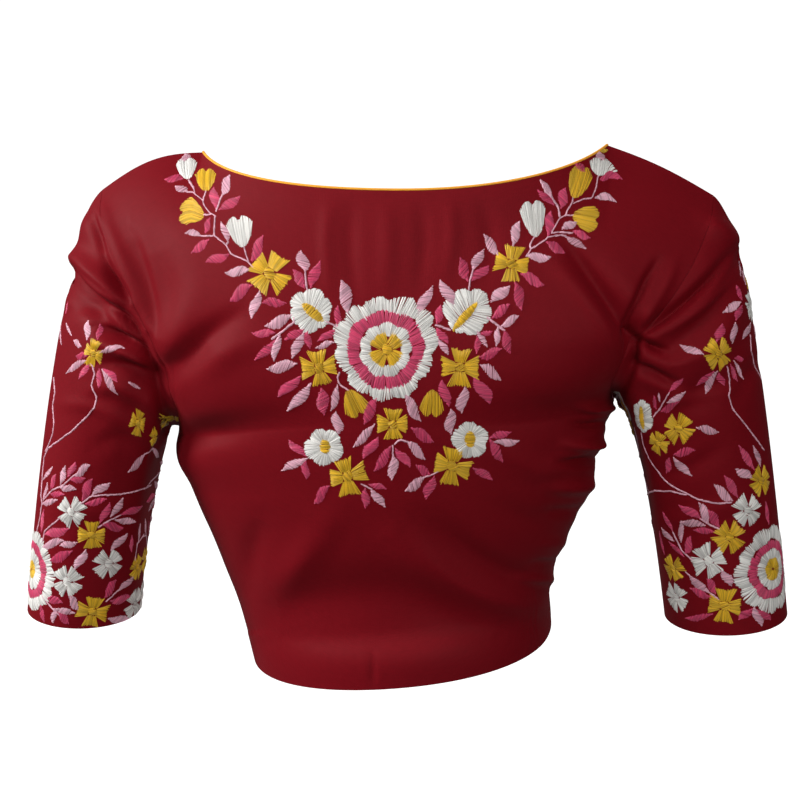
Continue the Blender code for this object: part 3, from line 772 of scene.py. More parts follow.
def neck_line(face, s):
    """Neckline points, the direction in which the cloth's edge looks there, and the cloth's normal."""
    top = np.zeros_like(s)
    edge, out = smooth_body(face, s, top), body_normal(face, s, top)
    along = smooth_body(face, s + NORMAL_STEP, top) - smooth_body(face, s - NORMAL_STEP, top)
    up = unit(np.cross(along, out))
    below = np.sum(up * (edge - smooth_body(face, s, top + 0.02)), axis=-1, keepdims=True) < 0
    return edge, np.where(below, -up, up), out


def tube(line, radius, first_side):
    """Points round a line: line + radius * (cos(a) side + sin(a) cross(along, side)), side square to it."""
    along = unit(np.gradient(line, axis=0))
    side = unit(first_side - along * np.sum(first_side * along, axis=-1, keepdims=True))
    angle = np.linspace(0, 2 * math.pi, PIPING_SIDES, endpoint=False)[:, None]
    ring = np.cos(angle) * side[:, None] + np.sin(angle) * np.cross(along, side)[:, None]
    return line[:, None] + radius * ring


def tube_quads(count, sides):
    """Quads of an open tube of count rings, all round."""
    at = np.arange(count * sides).reshape(count, sides)
    at = np.concatenate([at, at[:, :1]], axis=1)
    return np.stack([at[:-1, :-1], at[:-1, 1:], at[1:, 1:], at[1:, :-1]], axis=-1).reshape(-1, 4)


overlap = np.array(LAP_COLUMNS["right"], float)
first, last = lap_share(overlap[0, 0], 0.0), lap_share(overlap[0, 0] - PIPING_BREAK, 0.0)
inset = NORMAL_STEP * 2
runs = [
    ("front", np.linspace(first, NECK_SHARE - inset, PIPING_STEPS)),
    ("back", np.linspace(NECK_SHARE - inset, inset - NECK_SHARE, 2 * PIPING_STEPS)),
    ("front", np.linspace(inset - NECK_SHARE, last, PIPING_STEPS)),
]
parts = [neck_line(face, s) for face, s in runs]
edge, up, out = (np.concatenate([part[i] for part in parts]) for i in range(3))
rise = np.interp(edge[:, 0], *overlap.T)
rise[PIPING_STEPS:] = 0
centre = edge + up * (PIPING_RADIUS - PIPING_SINK) + out * (rise - CLOTH / 2)[:, None]
roll = tube(centre, PIPING_RADIUS, up)
gold = dyed_cloth("gold_piping_silk", (0.95, 0.42, 0.045), 0.42, 0.1, 0.3)
lengths = arcs(roll, 0, 0)
widths = np.broadcast_to(np.arange(PIPING_SIDES) * PIPING_SIDE, lengths.shape)
roll_flat = np.stack([widths, lengths], axis=-1).reshape(-1, 2)
roll_quads = tube_quads(len(roll), PIPING_SIDES)
piping = mesh_object("neck_roll", roll.reshape(-1, 3), roll_quads, gold, roll_flat)
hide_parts("neck_piping")

# Embroidery on the back
# Satin stitch in four colours of rayon: leaves stitched slantwise, flowers of fans, buds, a rosette of three
# rings and thin stems. Every stitch is a half-round strand that dives into the cloth at both ends.
PITCH = 1.18
STEM = (1.5, 1.1)
STITCH_ALONG = np.linspace(0, 1, 5)
STITCH_ACROSS = np.linspace(math.pi, 0, 5)
SINK = 0.2
STITCH_JITTER = 0.15
THREAD_TONES = (0.62, 1.08)
SEARCH_STEP = 6
random = np.random.default_rng(7)


def sample(grid, at):
    """Bilinear values of a grid at fractional columns and rows."""
    column = np.clip(at[..., 0], 0, grid.shape[1] - 1.001)
    row = np.clip(at[..., 1], 0, grid.shape[0] - 1.001)
    i, j = column.astype(int), row.astype(int)
    a, b = (column - i)[..., None], (row - j)[..., None]
    low = grid[j, i] * (1 - a) + grid[j, i + 1] * a
    high = grid[j + 1, i] * (1 - a) + grid[j + 1, i + 1] * a
    return low * (1 - b) + high * b


def nearest(grid, targets, open_to):
    """Column and row of the grid point nearest to each target, among those that are open."""
    rows, columns = np.nonzero(open_to)
    known = grid[rows, columns]
    found = [np.argmin(np.sum((known - target) ** 2, axis=-1)) for target in targets]
    return np.stack([columns[found], rows[found]], axis=-1).astype(float)


def settle(grid, targets, at, steps, reach):
    """Steps along a grid's own slopes, each at most reach cells, to where it has the target values."""
    for _ in range(steps):
        value = sample(grid, at)
        d_column = sample(grid, at + (0.5, 0)) - sample(grid, at - (0.5, 0))
        d_row = sample(grid, at + (0, 0.5)) - sample(grid, at - (0, 0.5))
        miss = targets - value
        area = d_column[..., 0] * d_row[..., 1] - d_column[..., 1] * d_row[..., 0]
        area = np.where(np.abs(area) < 1e-6, 1e-6, area)
        step = np.stack(
            [
                (miss[..., 0] * d_row[..., 1] - miss[..., 1] * d_row[..., 0]) / area,
                (d_column[..., 0] * miss[..., 1] - d_column[..., 1] * miss[..., 0]) / area,
            ],
            axis=-1,
        )
        at = at + np.clip(step, -reach, reach)
        at = np.clip(at, 0, (grid.shape[1] - 1.001, grid.shape[0] - 1.001))
    return at


def on_flat(surface, pixels, sizes=(0.5, 0.7)):
    """Flat places of picture points, and matrices that turn picture offsets, right and up, into flat ones.

    A matrix is (flat steps) (picture steps)^-1 of the grid there, its two stretches held between the sizes.
    """
    points, normal, flat = surface
    seen = np.sum(normal * (EYE - points), axis=-1) > 0
    shown = picture(points)
    at = settle(shown, pixels, nearest(shown, pixels, seen), 3, 0.4)
    halves = ((0.5, 0), (0, 0.5))
    shown_steps, flat_steps = (
        np.stack([sample(grid, at + half) - sample(grid, at - half) for half in halves], axis=-1)
        for grid in (shown, flat)
    )
    matrix = flat_steps @ np.linalg.pinv(shown_steps) @ np.diag([1, -1])
    left, stretch, right = np.linalg.svd(matrix)
    return sample(flat, at), left @ (np.clip(stretch, *sizes)[..., None] * right)


def bars(start, end, wide_start, wide_end, height):
    """One batch of stitches: flat starts and ends, both widths, and heights."""
    count = len(start)
    sizes = [np.broadcast_to(np.asarray(x, float), count) for x in (wide_start, wide_end, height)]
    return np.column_stack([start, end, *sizes])


def own_axes(run):
    """Length of a run, its heading, and the heading to the left of it."""
    length = np.hypot(*run)
    along = run / length
    return length, along, np.array([-along[1], along[0]])


def steps_at(angle):
    """Unit steps at angles: (cos a, sin a)."""
    return np.stack([np.cos(angle), np.sin(angle)], axis=-1)


def leaf(offsets, width, plump=1.15, slant=0.5, bend=0.0):
    """Slanted stitches across half widths of (width / 2) * sin(pi t)^plump, bowed by bend * sin(pi t).

    At both tips they turn along the leaf, which gives it its points.
    """
    start, run = offsets[0], offsets[1] - offsets[0]
    length, along, side = own_axes(run)
    count = max(int(round(length / PITCH)), 5)
    t = (np.arange(count) + 0.5) / count
    half = width / 2 * np.sin(math.pi * t) ** plump + 0.1
    tips = np.abs(2 * t - 1) ** 3
    middle = start + run * t[:, None] + side * (bend * length * np.sin(math.pi * t))[:, None]
    reach = side * half[:, None] + along * (slant * half + np.sign(slant + 1e-9) * 0.9 * tips)[:, None]
    height = 0.34 + 0.04 * width * np.sin(math.pi * t) ** 0.5
    return bars(middle - reach, middle + reach, PITCH * 1.08, PITCH * 1.08, height)


def any_leaf(offsets, width):
    """A leaf with a slant and a bend of its own."""
    slant = random.choice([-1, 1]) * random.uniform(0.35, 0.8)
    return leaf(offsets, width * 1.08, slant=slant, bend=random.uniform(-0.05, 0.05))


def flower_heart(offsets, width):
    """Raised stitches across a flower's long centre."""
    return leaf(offsets, width, 0.35, 0.0) + (0, 0, 0, 0, 0, 0, 0.35)


def fan(heading, inner, outer, spread_angle, horn):
    """Stitches from near the centre to an edge at outer * (0.86 + horn * share^2), highest in the middle."""
    count = max(int(round(2 * spread_angle * outer * 1.1 / PITCH)), 5)
    share = np.linspace(-1, 1, count)
    angle = heading + share * spread_angle
    side = np.array([-math.sin(heading), math.cos(heading)])
    ahead = np.array([math.cos(heading), math.sin(heading)])
    start = ahead * inner + side * (share * inner)[:, None]
    edge = outer * (0.86 + horn * share**2) * random.uniform(0.95, 1.04, count)
    end = steps_at(angle) * edge[:, None]
    wide_start = 2 * inner / count * 1.5
    return bars(start, end, wide_start, PITCH * 1.2, 0.45 + 0.4 * (1 - share**2))


def four_petals(_, radius, turn):
    """Four fans with gaps between them, round a small raised bar of stitches."""
    batches = []
    for quarter in range(4):
        heading = math.radians(turn + 90 * quarter + random.uniform(-6, 6))
        spread_angle = math.radians(random.uniform(26, 33))
        size = radius * random.uniform(0.97, 1.08)
        batches.append(fan(heading, radius * 0.23, size, spread_angle, random.uniform(0.12, 0.26)))
    heading = math.radians(turn + 45)
    knot = np.array([math.cos(heading), math.sin(heading)]) * radius * 0.26
    batches.append(leaf(np.array([-knot, knot]), radius * 0.5, 0.3, 0.2) + (0, 0, 0, 0, 0, 0, 0.4))
    return np.concatenate(batches)


def scallops(angle, count_lobes, depth):
    """size * (1 - depth + depth * sqrt(sin(pi * share of the lobe passed))), sizes 6 % up or down."""
    place = (angle / (2 * math.pi) * count_lobes + random.uniform(0, 1)) % count_lobes
    lobe = np.minimum(place.astype(int), int(count_lobes) - 1)
    sizes = random.uniform(0.94, 1.06, int(count_lobes))
    return sizes[lobe] * (1 - depth + depth * np.sqrt(np.sin(math.pi * (place - lobe)).clip(0)))


def ring(_, inner, outer, lobe_count, depth):
    """Stitches all round from a wavy inner edge to a scalloped outer one, each leaning a little."""
    count = int(round(2 * math.pi * (0.2 * inner + 0.8 * outer) / PITCH))
    angle = np.linspace(0, 2 * math.pi, count, endpoint=False)
    lean = 0.04 * np.sin(angle * lobe_count + random.uniform(0, 6)) + random.normal(0, 0.008, count)
    edge = outer * scallops(angle, lobe_count, depth) * random.uniform(0.985, 1.015, count)
    wave = 1 + 0.05 * np.sin(angle * 7 + random.uniform(0, 6))
    inner_edge = inner * wave * random.uniform(0.97, 1.02, count)
    start = steps_at(angle) * inner_edge[:, None]
    end = steps_at(angle + lean) * edge[:, None]
    wide = 2 * math.pi / count * 1.42
    return bars(start, end, inner * wide, outer * wide, random.uniform(0.5, 0.72, count))


def lobed_flower(offsets, radius, width, lobe_count):
    """Stitches from an ellipse round the long centre, outwards to an edge of rounded lobes."""
    middle = offsets[:2].mean(axis=0)
    length, along, side = own_axes((offsets[1] - offsets[0]) / 2)
    count = int(round(2 * math.pi * radius / PITCH))
    angle = np.linspace(0, 2 * math.pi, count, endpoint=False)
    around = angle - math.atan2(along[1], along[0])
    start = middle + along * (np.cos(around) * length * 0.85)[:, None]
    start = start + side * (np.sin(around) * width * 0.38)[:, None]
    edge = radius * scallops(angle, lobe_count, 0.2) * 1.04 * random.uniform(0.98, 1.02, count)
    end = offsets[2] + steps_at(angle) * edge[:, None]
    return bars(start, end, PITCH * 0.6, PITCH * 1.42, random.uniform(0.45, 0.72, count))


def bud(offsets, width):
    """Stitches from a rounded base at the stem to a far edge of two humps, highest in the middle."""
    start, run = offsets[0], offsets[1] - offsets[0]
    length, along, side = own_axes(run)
    count = max(int(round(width / PITCH * 1.1)), 6)
    share = np.linspace(-1, 1, count)
    far = length * (1.04 - 0.26 * np.abs(share) ** 3 - 0.14 * np.exp(-((share / 0.2) ** 2)))
    begin = start + side * (share * width * 0.36)[:, None] + along * (0.34 * length * share**2)[:, None]
    end = start + side * (share * width * 0.5)[:, None] + along * far[:, None]
    return bars(begin, end, PITCH * 0.8, PITCH * 1.15, 0.45 + 0.4 * (1 - share**2))


def stem(points):
    """Slightly turned stitches laid end over end along a line through the points."""
    length = np.concatenate([[0], np.cumsum(np.hypot(*np.diff(points, axis=0).T))])
    count = max(int(round(length[-1] / STEM[0])), 2)
    places = np.linspace(0, length[-1], count + 1)
    line = np.stack([np.interp(places, length, points[:, i]) for i in range(2)], axis=-1)
    along = unit(line[1:] - line[:-1])
    side = np.stack([-along[:, 1], along[:, 0]], axis=-1) * 0.18
    return bars(line[:-1] - along * 0.7 - side, line[1:] + along * 0.7 + side, STEM[1], STEM[1], 0.5)


def embroider(name, batch, surface, material):
    """Strands on the cloth: flat place, then out by -SINK + (SINK + height) * sin(across) * bulge(along)."""
    points, normal, flat = surface
    start, end = batch[:, :2], batch[:, 2:4]
    start = start + random.normal(0, STITCH_JITTER, start.shape)
    end = end + random.normal(0, STITCH_JITTER, end.shape)
    along = unit(end - start)
    side = np.stack([-along[:, 1], along[:, 0]], axis=-1)
    t = STITCH_ALONG[None, :, None, None]
    width = batch[:, 4, None, None, None] * (1 - t) + batch[:, 5, None, None, None] * t
    middle = start[:, None, None] * (1 - t) + end[:, None, None] * t
    across = np.cos(STITCH_ACROSS)[None, None, :, None]
    place = middle + side[:, None, None] * across * width / 2
    bulge = 0.3 + 0.7 * np.sin(math.pi * STITCH_ALONG) ** 0.6
    height = batch[:, 6] * random.uniform(0.75, 1.2, len(batch))
    out = -SINK + (SINK + height[:, None, None]) * np.sin(STITCH_ACROSS) * bulge[:, None]
    coarse = flat[::SEARCH_STEP, ::SEARCH_STEP]
    found = nearest(coarse, (start + end) / 2, np.ones(coarse.shape[:2], bool)) * SEARCH_STEP
    at = np.broadcast_to(found[:, None, None], place.shape)
    at = settle(flat, place, at, 7, SEARCH_STEP)
    outwards = unit(sample(normal, at))
    solid = sample(points, at) + outwards * out[..., None]
    rows, columns = solid.shape[1:3]
    index = np.arange(rows * columns).reshape(rows, columns)
    quad = np.stack([index[:-1, :-1], index[:-1, 1:], index[1:, 1:], index[1:, :-1]], -1).reshape(-1, 4)
    quads = (np.arange(len(batch))[:, None, None] * rows * columns + quad).reshape(-1, 4)
    corners = solid.reshape(-1, 3)[quads[:16]]
    facing = np.cross(corners[:, 1] - corners[:, 0], corners[:, 2] - corners[:, 0])
    if np.sum(facing * outwards.reshape(-1, 3)[quads[:16, 0]]) <= 0:
        quads = quads[:, ::-1]
    uv = np.stack(np.broadcast_arrays(np.cos(STITCH_ACROSS), STITCH_ALONG[:, None]), axis=-1)
    uv = np.broadcast_to(uv, (len(batch), rows, columns, 2)).reshape(-1, 2) * 1000
    piece = mesh_object(name, solid.reshape(-1, 3), quads, material, uv)
    shade = piece.data.attributes.new("shade", "FLOAT", "POINT")
    tone = np.repeat(random.uniform(*THREAD_TONES, len(batch)), rows * columns)
    shade.data.foreach_set("value", tone.astype(np.float32))
    return piece


def rayon(name, colour):
    """Glossy embroidery thread: fine filaments across each strand, each stitch a little lighter or darker."""
    material, shader = plain_material(name, Roughness=0.45, Sheen_Weight=0.1, Specular_IOR_Level=0.4)
    nodes, links = material.node_tree.nodes, material.node_tree.links
    tone = nodes.new("ShaderNodeAttribute")
    tone.attribute_name = "shade"
    paint = nodes.new("ShaderNodeVectorMath")
    paint.operation = "SCALE"
    paint.inputs[0].default_value = colour
    links.new(tone.outputs["Fac"], paint.inputs["Scale"])
    links.new(paint.outputs["Vector"], shader.inputs["Base Color"])
    raise_by(material, shader, flat_noise(material, 2.0, 3.0, 0.6), 0.2, 0.0001)
    return material


THREADS = {
    "pink": rayon("pink_rayon", (0.66, 0.055, 0.15)),
    "blush": rayon("blush_rayon", (0.80, 0.44, 0.54)),
    "yellow": rayon("yellow_rayon", (0.82, 0.50, 0.018)),
    "white": rayon("white_rayon", (0.86, 0.84, 0.80)),
}

# Leaves: both ends and the width, in the photo's pixels
BACK_LEAVES = {
    "pink": (
        (165, 179, 183, 179, 8), (214, 187, 216, 209, 9.5), (240, 196, 219, 210, 9), (210, 218, 205, 233, 6),
        (191.5, 253, 209, 239.5, 8), (206, 262, 229, 254, 9), (263, 236, 251, 261, 10),
        (230, 301, 252, 285, 11), (293, 269.5, 305, 288, 9), (320, 261, 311, 288, 10),
        (262, 303, 286, 303, 9), (252, 333, 275, 333, 8), (255, 360, 275, 340, 8), (285, 340, 304, 329, 8),
        (307, 331, 310, 349, 7.5), (318, 341, 335.5, 329, 7), (338, 306, 337, 326, 7),
        (278, 397, 301, 376, 10), (321, 388, 324.5, 415, 12), (441, 305, 436, 324, 8),
        (437, 328, 448, 343, 8), (460, 257.5, 468, 281, 10), (488.5, 265.5, 472, 281, 10),
        (521, 274, 544, 285, 10), (515, 282, 522, 310, 10), (510, 304, 492, 318, 9),
        (504, 330, 510.5, 353, 9), (480, 335, 492, 331, 5), (477, 336, 477, 353, 6),
        (479, 357, 502, 348.5, 9), (474, 377, 489.5, 404, 12), (442, 380, 449, 406.5, 10),
        (600, 179, 622, 179, 9), (576, 157, 585, 172, 8), (538, 190, 554, 205, 7), (565.5, 188, 561, 208, 10),
        (551, 211, 548, 236, 9), (573, 231, 590, 238, 7), (546, 242, 565, 253, 9), (377, 398, 364, 424, 11),
        (378, 437, 363.5, 458, 10), (391, 446, 374, 471, 9), (395.5, 448.5, 410, 467, 9),
        (411, 428, 434, 442, 10), (289, 440, 306, 456, 8), (306, 461, 306.5, 479, 8),
        (329, 486, 314.5, 504, 9), (365, 488, 365, 508, 8), (369, 484, 386, 489, 6),
        (490, 437.6, 511, 432, 7), (489.5, 439, 503, 462, 9), (416, 465.5, 431, 475, 8),
        (434, 476, 426, 499, 10), (473, 468, 492, 480, 8),
    ),
    "yellow": ((599.5, 147, 607.5, 150, 5),),
    "blush": (
        (186, 151, 184, 162, 9), (175, 186, 188, 192, 7), (230, 175, 222, 195, 9), (185, 233, 201.5, 236, 6),
        (221, 222, 228, 242, 7), (225, 273, 250, 270, 9), (251.5, 318, 259.5, 291, 9.5),
        (301, 250.5, 305, 272, 12), (265, 326, 292, 315, 11), (274, 361, 280, 334, 8),
        (292, 358.5, 304, 332, 9), (316, 348, 334, 342, 6), (341, 280, 348, 314, 12),
        (267, 369, 297, 364, 11), (287, 411, 311, 383, 10), (338, 385, 331, 411, 7.5),
        (433, 286, 418, 316, 10), (440, 280, 453.5, 307, 11), (438, 339, 448, 355, 6),
        (484, 249, 473, 270.5, 9), (484, 234, 498.5, 255, 9), (520, 221, 513, 246, 9),
        (526.5, 256, 551, 257, 9), (510, 286, 491, 302, 11), (519, 316, 501, 326, 8), (498, 327, 496, 346, 6),
        (477, 331, 487, 347, 5), (480, 365, 501, 380, 9), (465, 387, 462, 413, 11), (599, 148, 603, 160, 8),
        (595, 198, 616.5, 202, 8), (540, 180, 553, 199, 6), (562, 229, 577, 222, 8), (565, 236, 586, 249, 7),
        (336, 412, 338, 434, 11), (375, 424.5, 353, 447, 8), (392.6, 456, 392, 480, 10),
        (407, 442, 425, 459.5, 9), (405, 394, 421, 421, 10), (451, 409, 451, 434, 11),
        (282, 471, 308, 458, 8), (371, 489, 385, 507, 8), (494, 441.6, 519, 441, 7), (425, 477, 405, 491, 9),
    ),
}
BACK_STEMS = (
    (
        189, 180, 195, 194, 203, 200, 204, 205, 210, 213, 215, 215.5,
        214, 235, 226, 245, 231, 254, 247, 261, 254, 268,
    ),
    (206, 191, 203, 200),
    (188, 192, 195, 194),
    (222, 195, 219, 203, 216, 211),
    (204, 215, 211, 214),
    (201.5, 236, 214, 235.5),
    (228, 242, 226, 245),
    (244, 247, 248, 261),
    (305, 272, 307, 290),
    (294, 317, 294, 322, 279, 334, 272, 339),
    (324, 321, 338, 327),
    (339.5, 373, 337.5, 378, 339, 384, 348, 390),
    (436, 325, 450, 330),
    (473, 270, 470, 280, 469, 289),
    (487, 317, 504, 330),
    (598, 176, 597, 182, 596, 188, 592, 198, 583, 199, 574, 203),
    (573, 198, 572, 203, 567, 210.5, 566, 215, 560, 218, 551, 233, 559, 232),
    (566, 215, 573, 215.5),
    (553, 199, 558, 207, 560, 217),
    (534, 237, 530, 244.5, 531, 249, 545, 240, 548, 237, 560.5, 235, 565, 236),
    (531, 249, 526.5, 256),
    (560.5, 232, 572, 233),
    (393, 446, 392.6, 456),
    (395, 444, 397, 441.6, 401, 440, 407, 442),
    (362, 484, 371, 489),
    (438, 472, 425, 477),
)

# Four-petalled flowers: middle, radius, and the first petal's heading in degrees left of right
BACK_FLOWERS = {
    "yellow": (
        (319, 368.4, 19, 7), (460, 367, 20, 90), (269.4, 273.5, 22, 52), (511.4, 264, 19.5, 84),
        (392.5, 424.3, 17, 90), (347.5, 476.5, 20, 12), (452, 466, 20, 78), (387, 349.5, 20, 45),
    ),
}

# Lobed flowers: both ends of the yellow centre, the middle, the radius, the centre's width and the lobes
BACK_LOBED = (
    (303, 304, 323, 321, 311, 311, 21.5, 10, 6),
    (477, 303, 453, 330, 468, 311.5, 23.5, 8, 6),
    (325, 440, 325, 453, 324, 447, 19, 11, 5),
    (470, 431.5, 470, 447, 470, 441, 18, 11, 5),
)

# Buds: point, far end and width
BACK_BUDS = {
    "white": (
        (188, 179, 186, 158.5, 21), (243, 247, 238, 217, 26.5), (599.5, 176, 602, 158.5, 24),
        (536, 237, 532, 201.5, 26),
    ),
    "yellow": (
        (206, 191, 206, 169, 21.5), (204, 215, 180, 213, 27), (574, 198, 583, 167, 24),
        (573, 215, 598, 220, 27), (348, 390, 360, 415, 25), (433, 390, 431, 416, 24),
    ),
}

# Rings of the rosette: middle, inner radius, outer radius, the number of scallops and their depth
BACK_RINGS = {
    "white": ((385.6, 350.3, 38, 53, 11, 0.13), (385.6, 350.3, 15, 28, 9, 0.15)),
    "pink": ((385.6, 350.3, 26, 40, 12, 0.08),),
}


def girth(flat):
    """Height above the cuff and length round a sleeve, row by row from the cuff up."""
    rows = flat[::-1, SLEEVE_OVERLAP : SLEEVE_OVERLAP + SLEEVE_COLUMNS + 1]
    return rows[..., 1].mean(axis=1), np.abs(rows[:, -1, 0] - rows[:, 0, 0])


def turned_over(surface, batch):
    """Bars on a sleeve's far half: x becomes -length / 2 - x, with the sleeve's length round at their height.

    Bars that would come back over the seen half, |x| < length / 4, are left out.
    """
    heights, lengths = girth(surface[2])
    far = batch.copy()
    round_here = np.interp(batch[:, 1].mean(), heights, lengths)
    far[:, [0, 2]] = -round_here / 2 - batch[:, [0, 2]]
    if far[:, 0].mean() < -round_here / 2:
        far[:, [0, 2]] += round_here
    middle = (far[:, 0] + far[:, 2]) / 2
    from_seen = np.abs((middle + round_here / 2) % round_here - round_here / 2)
    return far[from_seen > round_here / 4]


def motifs(surface, rows, pairs, stitches, sizes, both_halves):
    """Bars of one kind of motif, stitched in the picture's pixels and thrown onto the flat cloth.

    Each row starts with its places in the picture. Where there are two, the matrix is bent to meet both.
    """
    rows = np.array(rows, float)
    places = rows[:, : 2 * pairs].reshape(-1, pairs, 2)
    flat_places = on_flat(surface, places.reshape(-1, 2))[0].reshape(-1, pairs, 2)
    matrices = on_flat(surface, places.mean(axis=1), sizes)[1]
    laid = []
    for place, flat_place, matrix, numbers in zip(places, flat_places, matrices, rows[:, 2 * pairs :]):
        offsets = (place - place[0]) * (1, -1)
        if pairs == 2:
            run = offsets[1]
            miss = flat_place[1] - flat_place[0] - matrix @ run
            matrix = matrix + np.outer(miss, run) / (run @ run)
        batch = stitches(offsets, *numbers)
        size = math.sqrt(abs(np.linalg.det(matrix)))
        ends = [flat_place[0] + batch[:, i : i + 2] @ matrix.T for i in (0, 2)]
        laid.append(bars(*ends, batch[:, 4] * size, batch[:, 5] * size, batch[:, 6]))
        if both_halves:
            laid.append(turned_over(surface, laid[-1]))
    return laid


def gather(surface, leaves, stems, flowers, lobed, buds, rings, sizes, both_halves=False):
    """Stitches of all motifs of one panel, by thread colour. A rosette's rings are there only once."""
    batches = {colour: [] for colour in THREADS}
    for rows_by_colour, pairs, stitches, twice in (
        (leaves, 2, any_leaf, both_halves),
        (flowers, 1, four_petals, both_halves),
        (buds, 2, bud, both_halves),
        (rings, 1, ring, False),
    ):
        for colour, rows in rows_by_colour.items():
            batches[colour] += motifs(surface, rows, pairs, stitches, sizes, twice)
    if lobed:
        lobed = np.array(lobed, float)
        batches["white"] += motifs(surface, lobed, 3, lobed_flower, sizes, both_halves)
        hearts = lobed[:, [0, 1, 2, 3, 7]]
        batches["yellow"] += motifs(surface, hearts, 2, flower_heart, sizes, both_halves)
    for row in stems:
        line = on_flat(surface, np.reshape(row, (-1, 2)))[0]
        batches["blush"].append(stem(line))
        if both_halves:
            batches["blush"].append(turned_over(surface, batches["blush"][-1]))
    return {colour: np.concatenate(batch) for colour, batch in batches.items() if batch}


back_surface = (back_points, back_normal, back_flat)
back_batches = gather(
    back_surface, BACK_LEAVES, BACK_STEMS, BACK_FLOWERS, BACK_LOBED, BACK_BUDS, BACK_RINGS, (0.35, 1.1)
)
back_threads = [
    embroider(f"back_{colour}", batch, back_surface, THREADS[colour])
    for colour, batch in back_batches.items()
]

# Embroidery on the sleeves
# The same stitches: a vine, sprays of leaves, flowers and a rosette near each cuff. The far half of a sleeve,
# which the photo doesn't show, carries the same motifs turned over.
SLEEVE_LEAVES = {
    "left": {
        "pink": (
            (100, 324, 98, 339, 7), (68, 302, 65.5, 313.6, 3), (76, 356, 86.6, 356.4, 8),
            (78.6, 379.2, 90.2, 362.7, 7), (102.7, 368.5, 117, 381.9, 7), (99.5, 369, 98.7, 388, 6.5),
            (68, 477, 75.5, 462, 7), (50.6, 488.4, 56.2, 474.6, 7), (70, 480, 85.3, 478.2, 7),
            (50.6, 493.5, 64, 494.5, 6), (82.2, 500.6, 92.4, 479.2, 9), (85.3, 503.7, 106.7, 499, 6.5),
            (44, 509.8, 41.4, 532.2, 6), (44.5, 534.3, 69, 528.7, 9), (49, 560.8, 72.6, 551, 9),
            (100, 523, 109.8, 502.7, 8), (121, 515, 142.4, 505.7, 8), (102, 524.6, 123, 528, 9),
            (131.7, 551.6, 131.7, 535, 6), (40.4, 604.7, 44.5, 622, 6), (46, 596, 62.3, 603, 8),
            (57.8, 612.3, 69, 624, 8), (104.7, 597.5, 116.4, 580, 9), (110.3, 600.6, 130.2, 596.5, 9),
        ),
        "blush": (
            (88.7, 320.3, 86.8, 340, 8), (61, 325.5, 61.5, 345, 3.5), (66.3, 323, 71.5, 335.6, 3),
            (73.7, 340.4, 81.7, 346.2, 6), (66, 373.4, 87, 360.4, 7), (99, 353.3, 124.6, 348.4, 7),
            (101.8, 369.4, 117.9, 394.8, 8), (128.6, 382.3, 140.2, 388.6, 3), (145, 453.8, 127.7, 472, 9),
            (75, 476, 90, 465, 8), (60.3, 484.3, 65.5, 465.5, 7), (43, 479.7, 52.5, 467, 5),
            (59.8, 487, 76, 489.5, 7), (43, 499.6, 47.5, 483, 5), (42, 503.7, 57.2, 500, 6),
            (92.4, 495, 110.3, 482.8, 8), (42, 547, 63.9, 540.4, 8), (59.8, 545.5, 77, 542.4, 7),
            (75, 569.5, 85.3, 550, 9), (110.3, 517, 123, 497.6, 8), (115, 520, 135.8, 522, 7),
            (110.8, 550.6, 127.7, 533.3, 8), (138.4, 541.4, 140.4, 523, 5), (69, 595.5, 78.7, 609.8, 8),
            (53.7, 608.8, 74.6, 613.4, 7), (54.2, 610, 53, 623, 6), (119, 590.4, 133.8, 576, 8),
            (108.3, 618, 128.7, 619.5, 8),
        ),
    },
    "right": {
        "pink": (
            (736.3, 285.2, 742, 300, 7), (735.8, 320, 742, 305, 8), (722, 323.6, 716.5, 342, 9),
            (735, 358.7, 743.5, 359, 6), (730.5, 364.5, 737.7, 381.4, 6), (696.6, 386, 713.6, 371.6, 7),
            (718.5, 373.4, 724.3, 385.4, 8), (669, 392, 683, 378.8, 6), (661, 411, 679.2, 401.5, 8),
            (656.4, 409, 653.8, 395.7, 5), (673.4, 454.6, 695.3, 450.2, 8), (666.3, 473, 669.4, 457.8, 8),
            (738.6, 445.3, 754.6, 469.8, 8), (678.9, 505.2, 700.3, 518.5, 8), (708, 510.3, 719.2, 526.6, 9),
            (693.2, 530.2, 714.6, 531.2, 6), (724.3, 476, 738, 497.6, 8), (765.6, 501.6, 769, 524, 6),
            (685, 553.7, 690.6, 536.3, 8), (668.7, 541.4, 684, 556.7, 5), (662.6, 511.8, 672.8, 531.2, 6),
            (659.5, 531.2, 664.6, 554.7, 5), (707, 578.7, 715.6, 593.5, 8), (690, 588.4, 711, 597.5, 8),
            (685, 618, 712.6, 613.9, 6), (739, 619.5, 752.3, 608.8, 8), (756.4, 609.3, 770.7, 620, 8),
        ),
        "blush": (
            (739.5, 261, 740.5, 275.8, 3), (742, 270.5, 745.8, 285, 4), (723, 312.6, 741, 302, 8),
            (732.6, 343, 735.2, 322.6, 10), (743, 339, 750.5, 323, 8), (680, 344.8, 703.8, 354.6, 8),
            (734, 361, 743.5, 378.8, 6), (705.5, 394, 717.6, 370.7, 8), (666.7, 402.9, 685.4, 391.7, 6),
            (660, 402, 659, 393, 3), (696.6, 427.9, 719, 432.3, 8), (673.4, 457.3, 691.6, 476, 8),
            (753.3, 445.7, 760.4, 466.3, 7), (736, 469, 752, 478, 9), (698.8, 502.7, 708.5, 524, 8),
            (679.4, 522, 705.4, 525.6, 8), (714, 484.8, 733, 500.6, 9), (681, 521, 681.4, 542.4, 6),
            (661.5, 527.7, 673.8, 541.4, 7), (689, 575, 709.5, 592.5, 8), (721.7, 570.5, 731.4, 586.3, 9),
            (754.4, 607.2, 761.5, 626, 9), (753.7, 325, 757, 338, 5),
        ),
        "yellow": ((746.5, 277, 748, 290, 4),),
    },
}
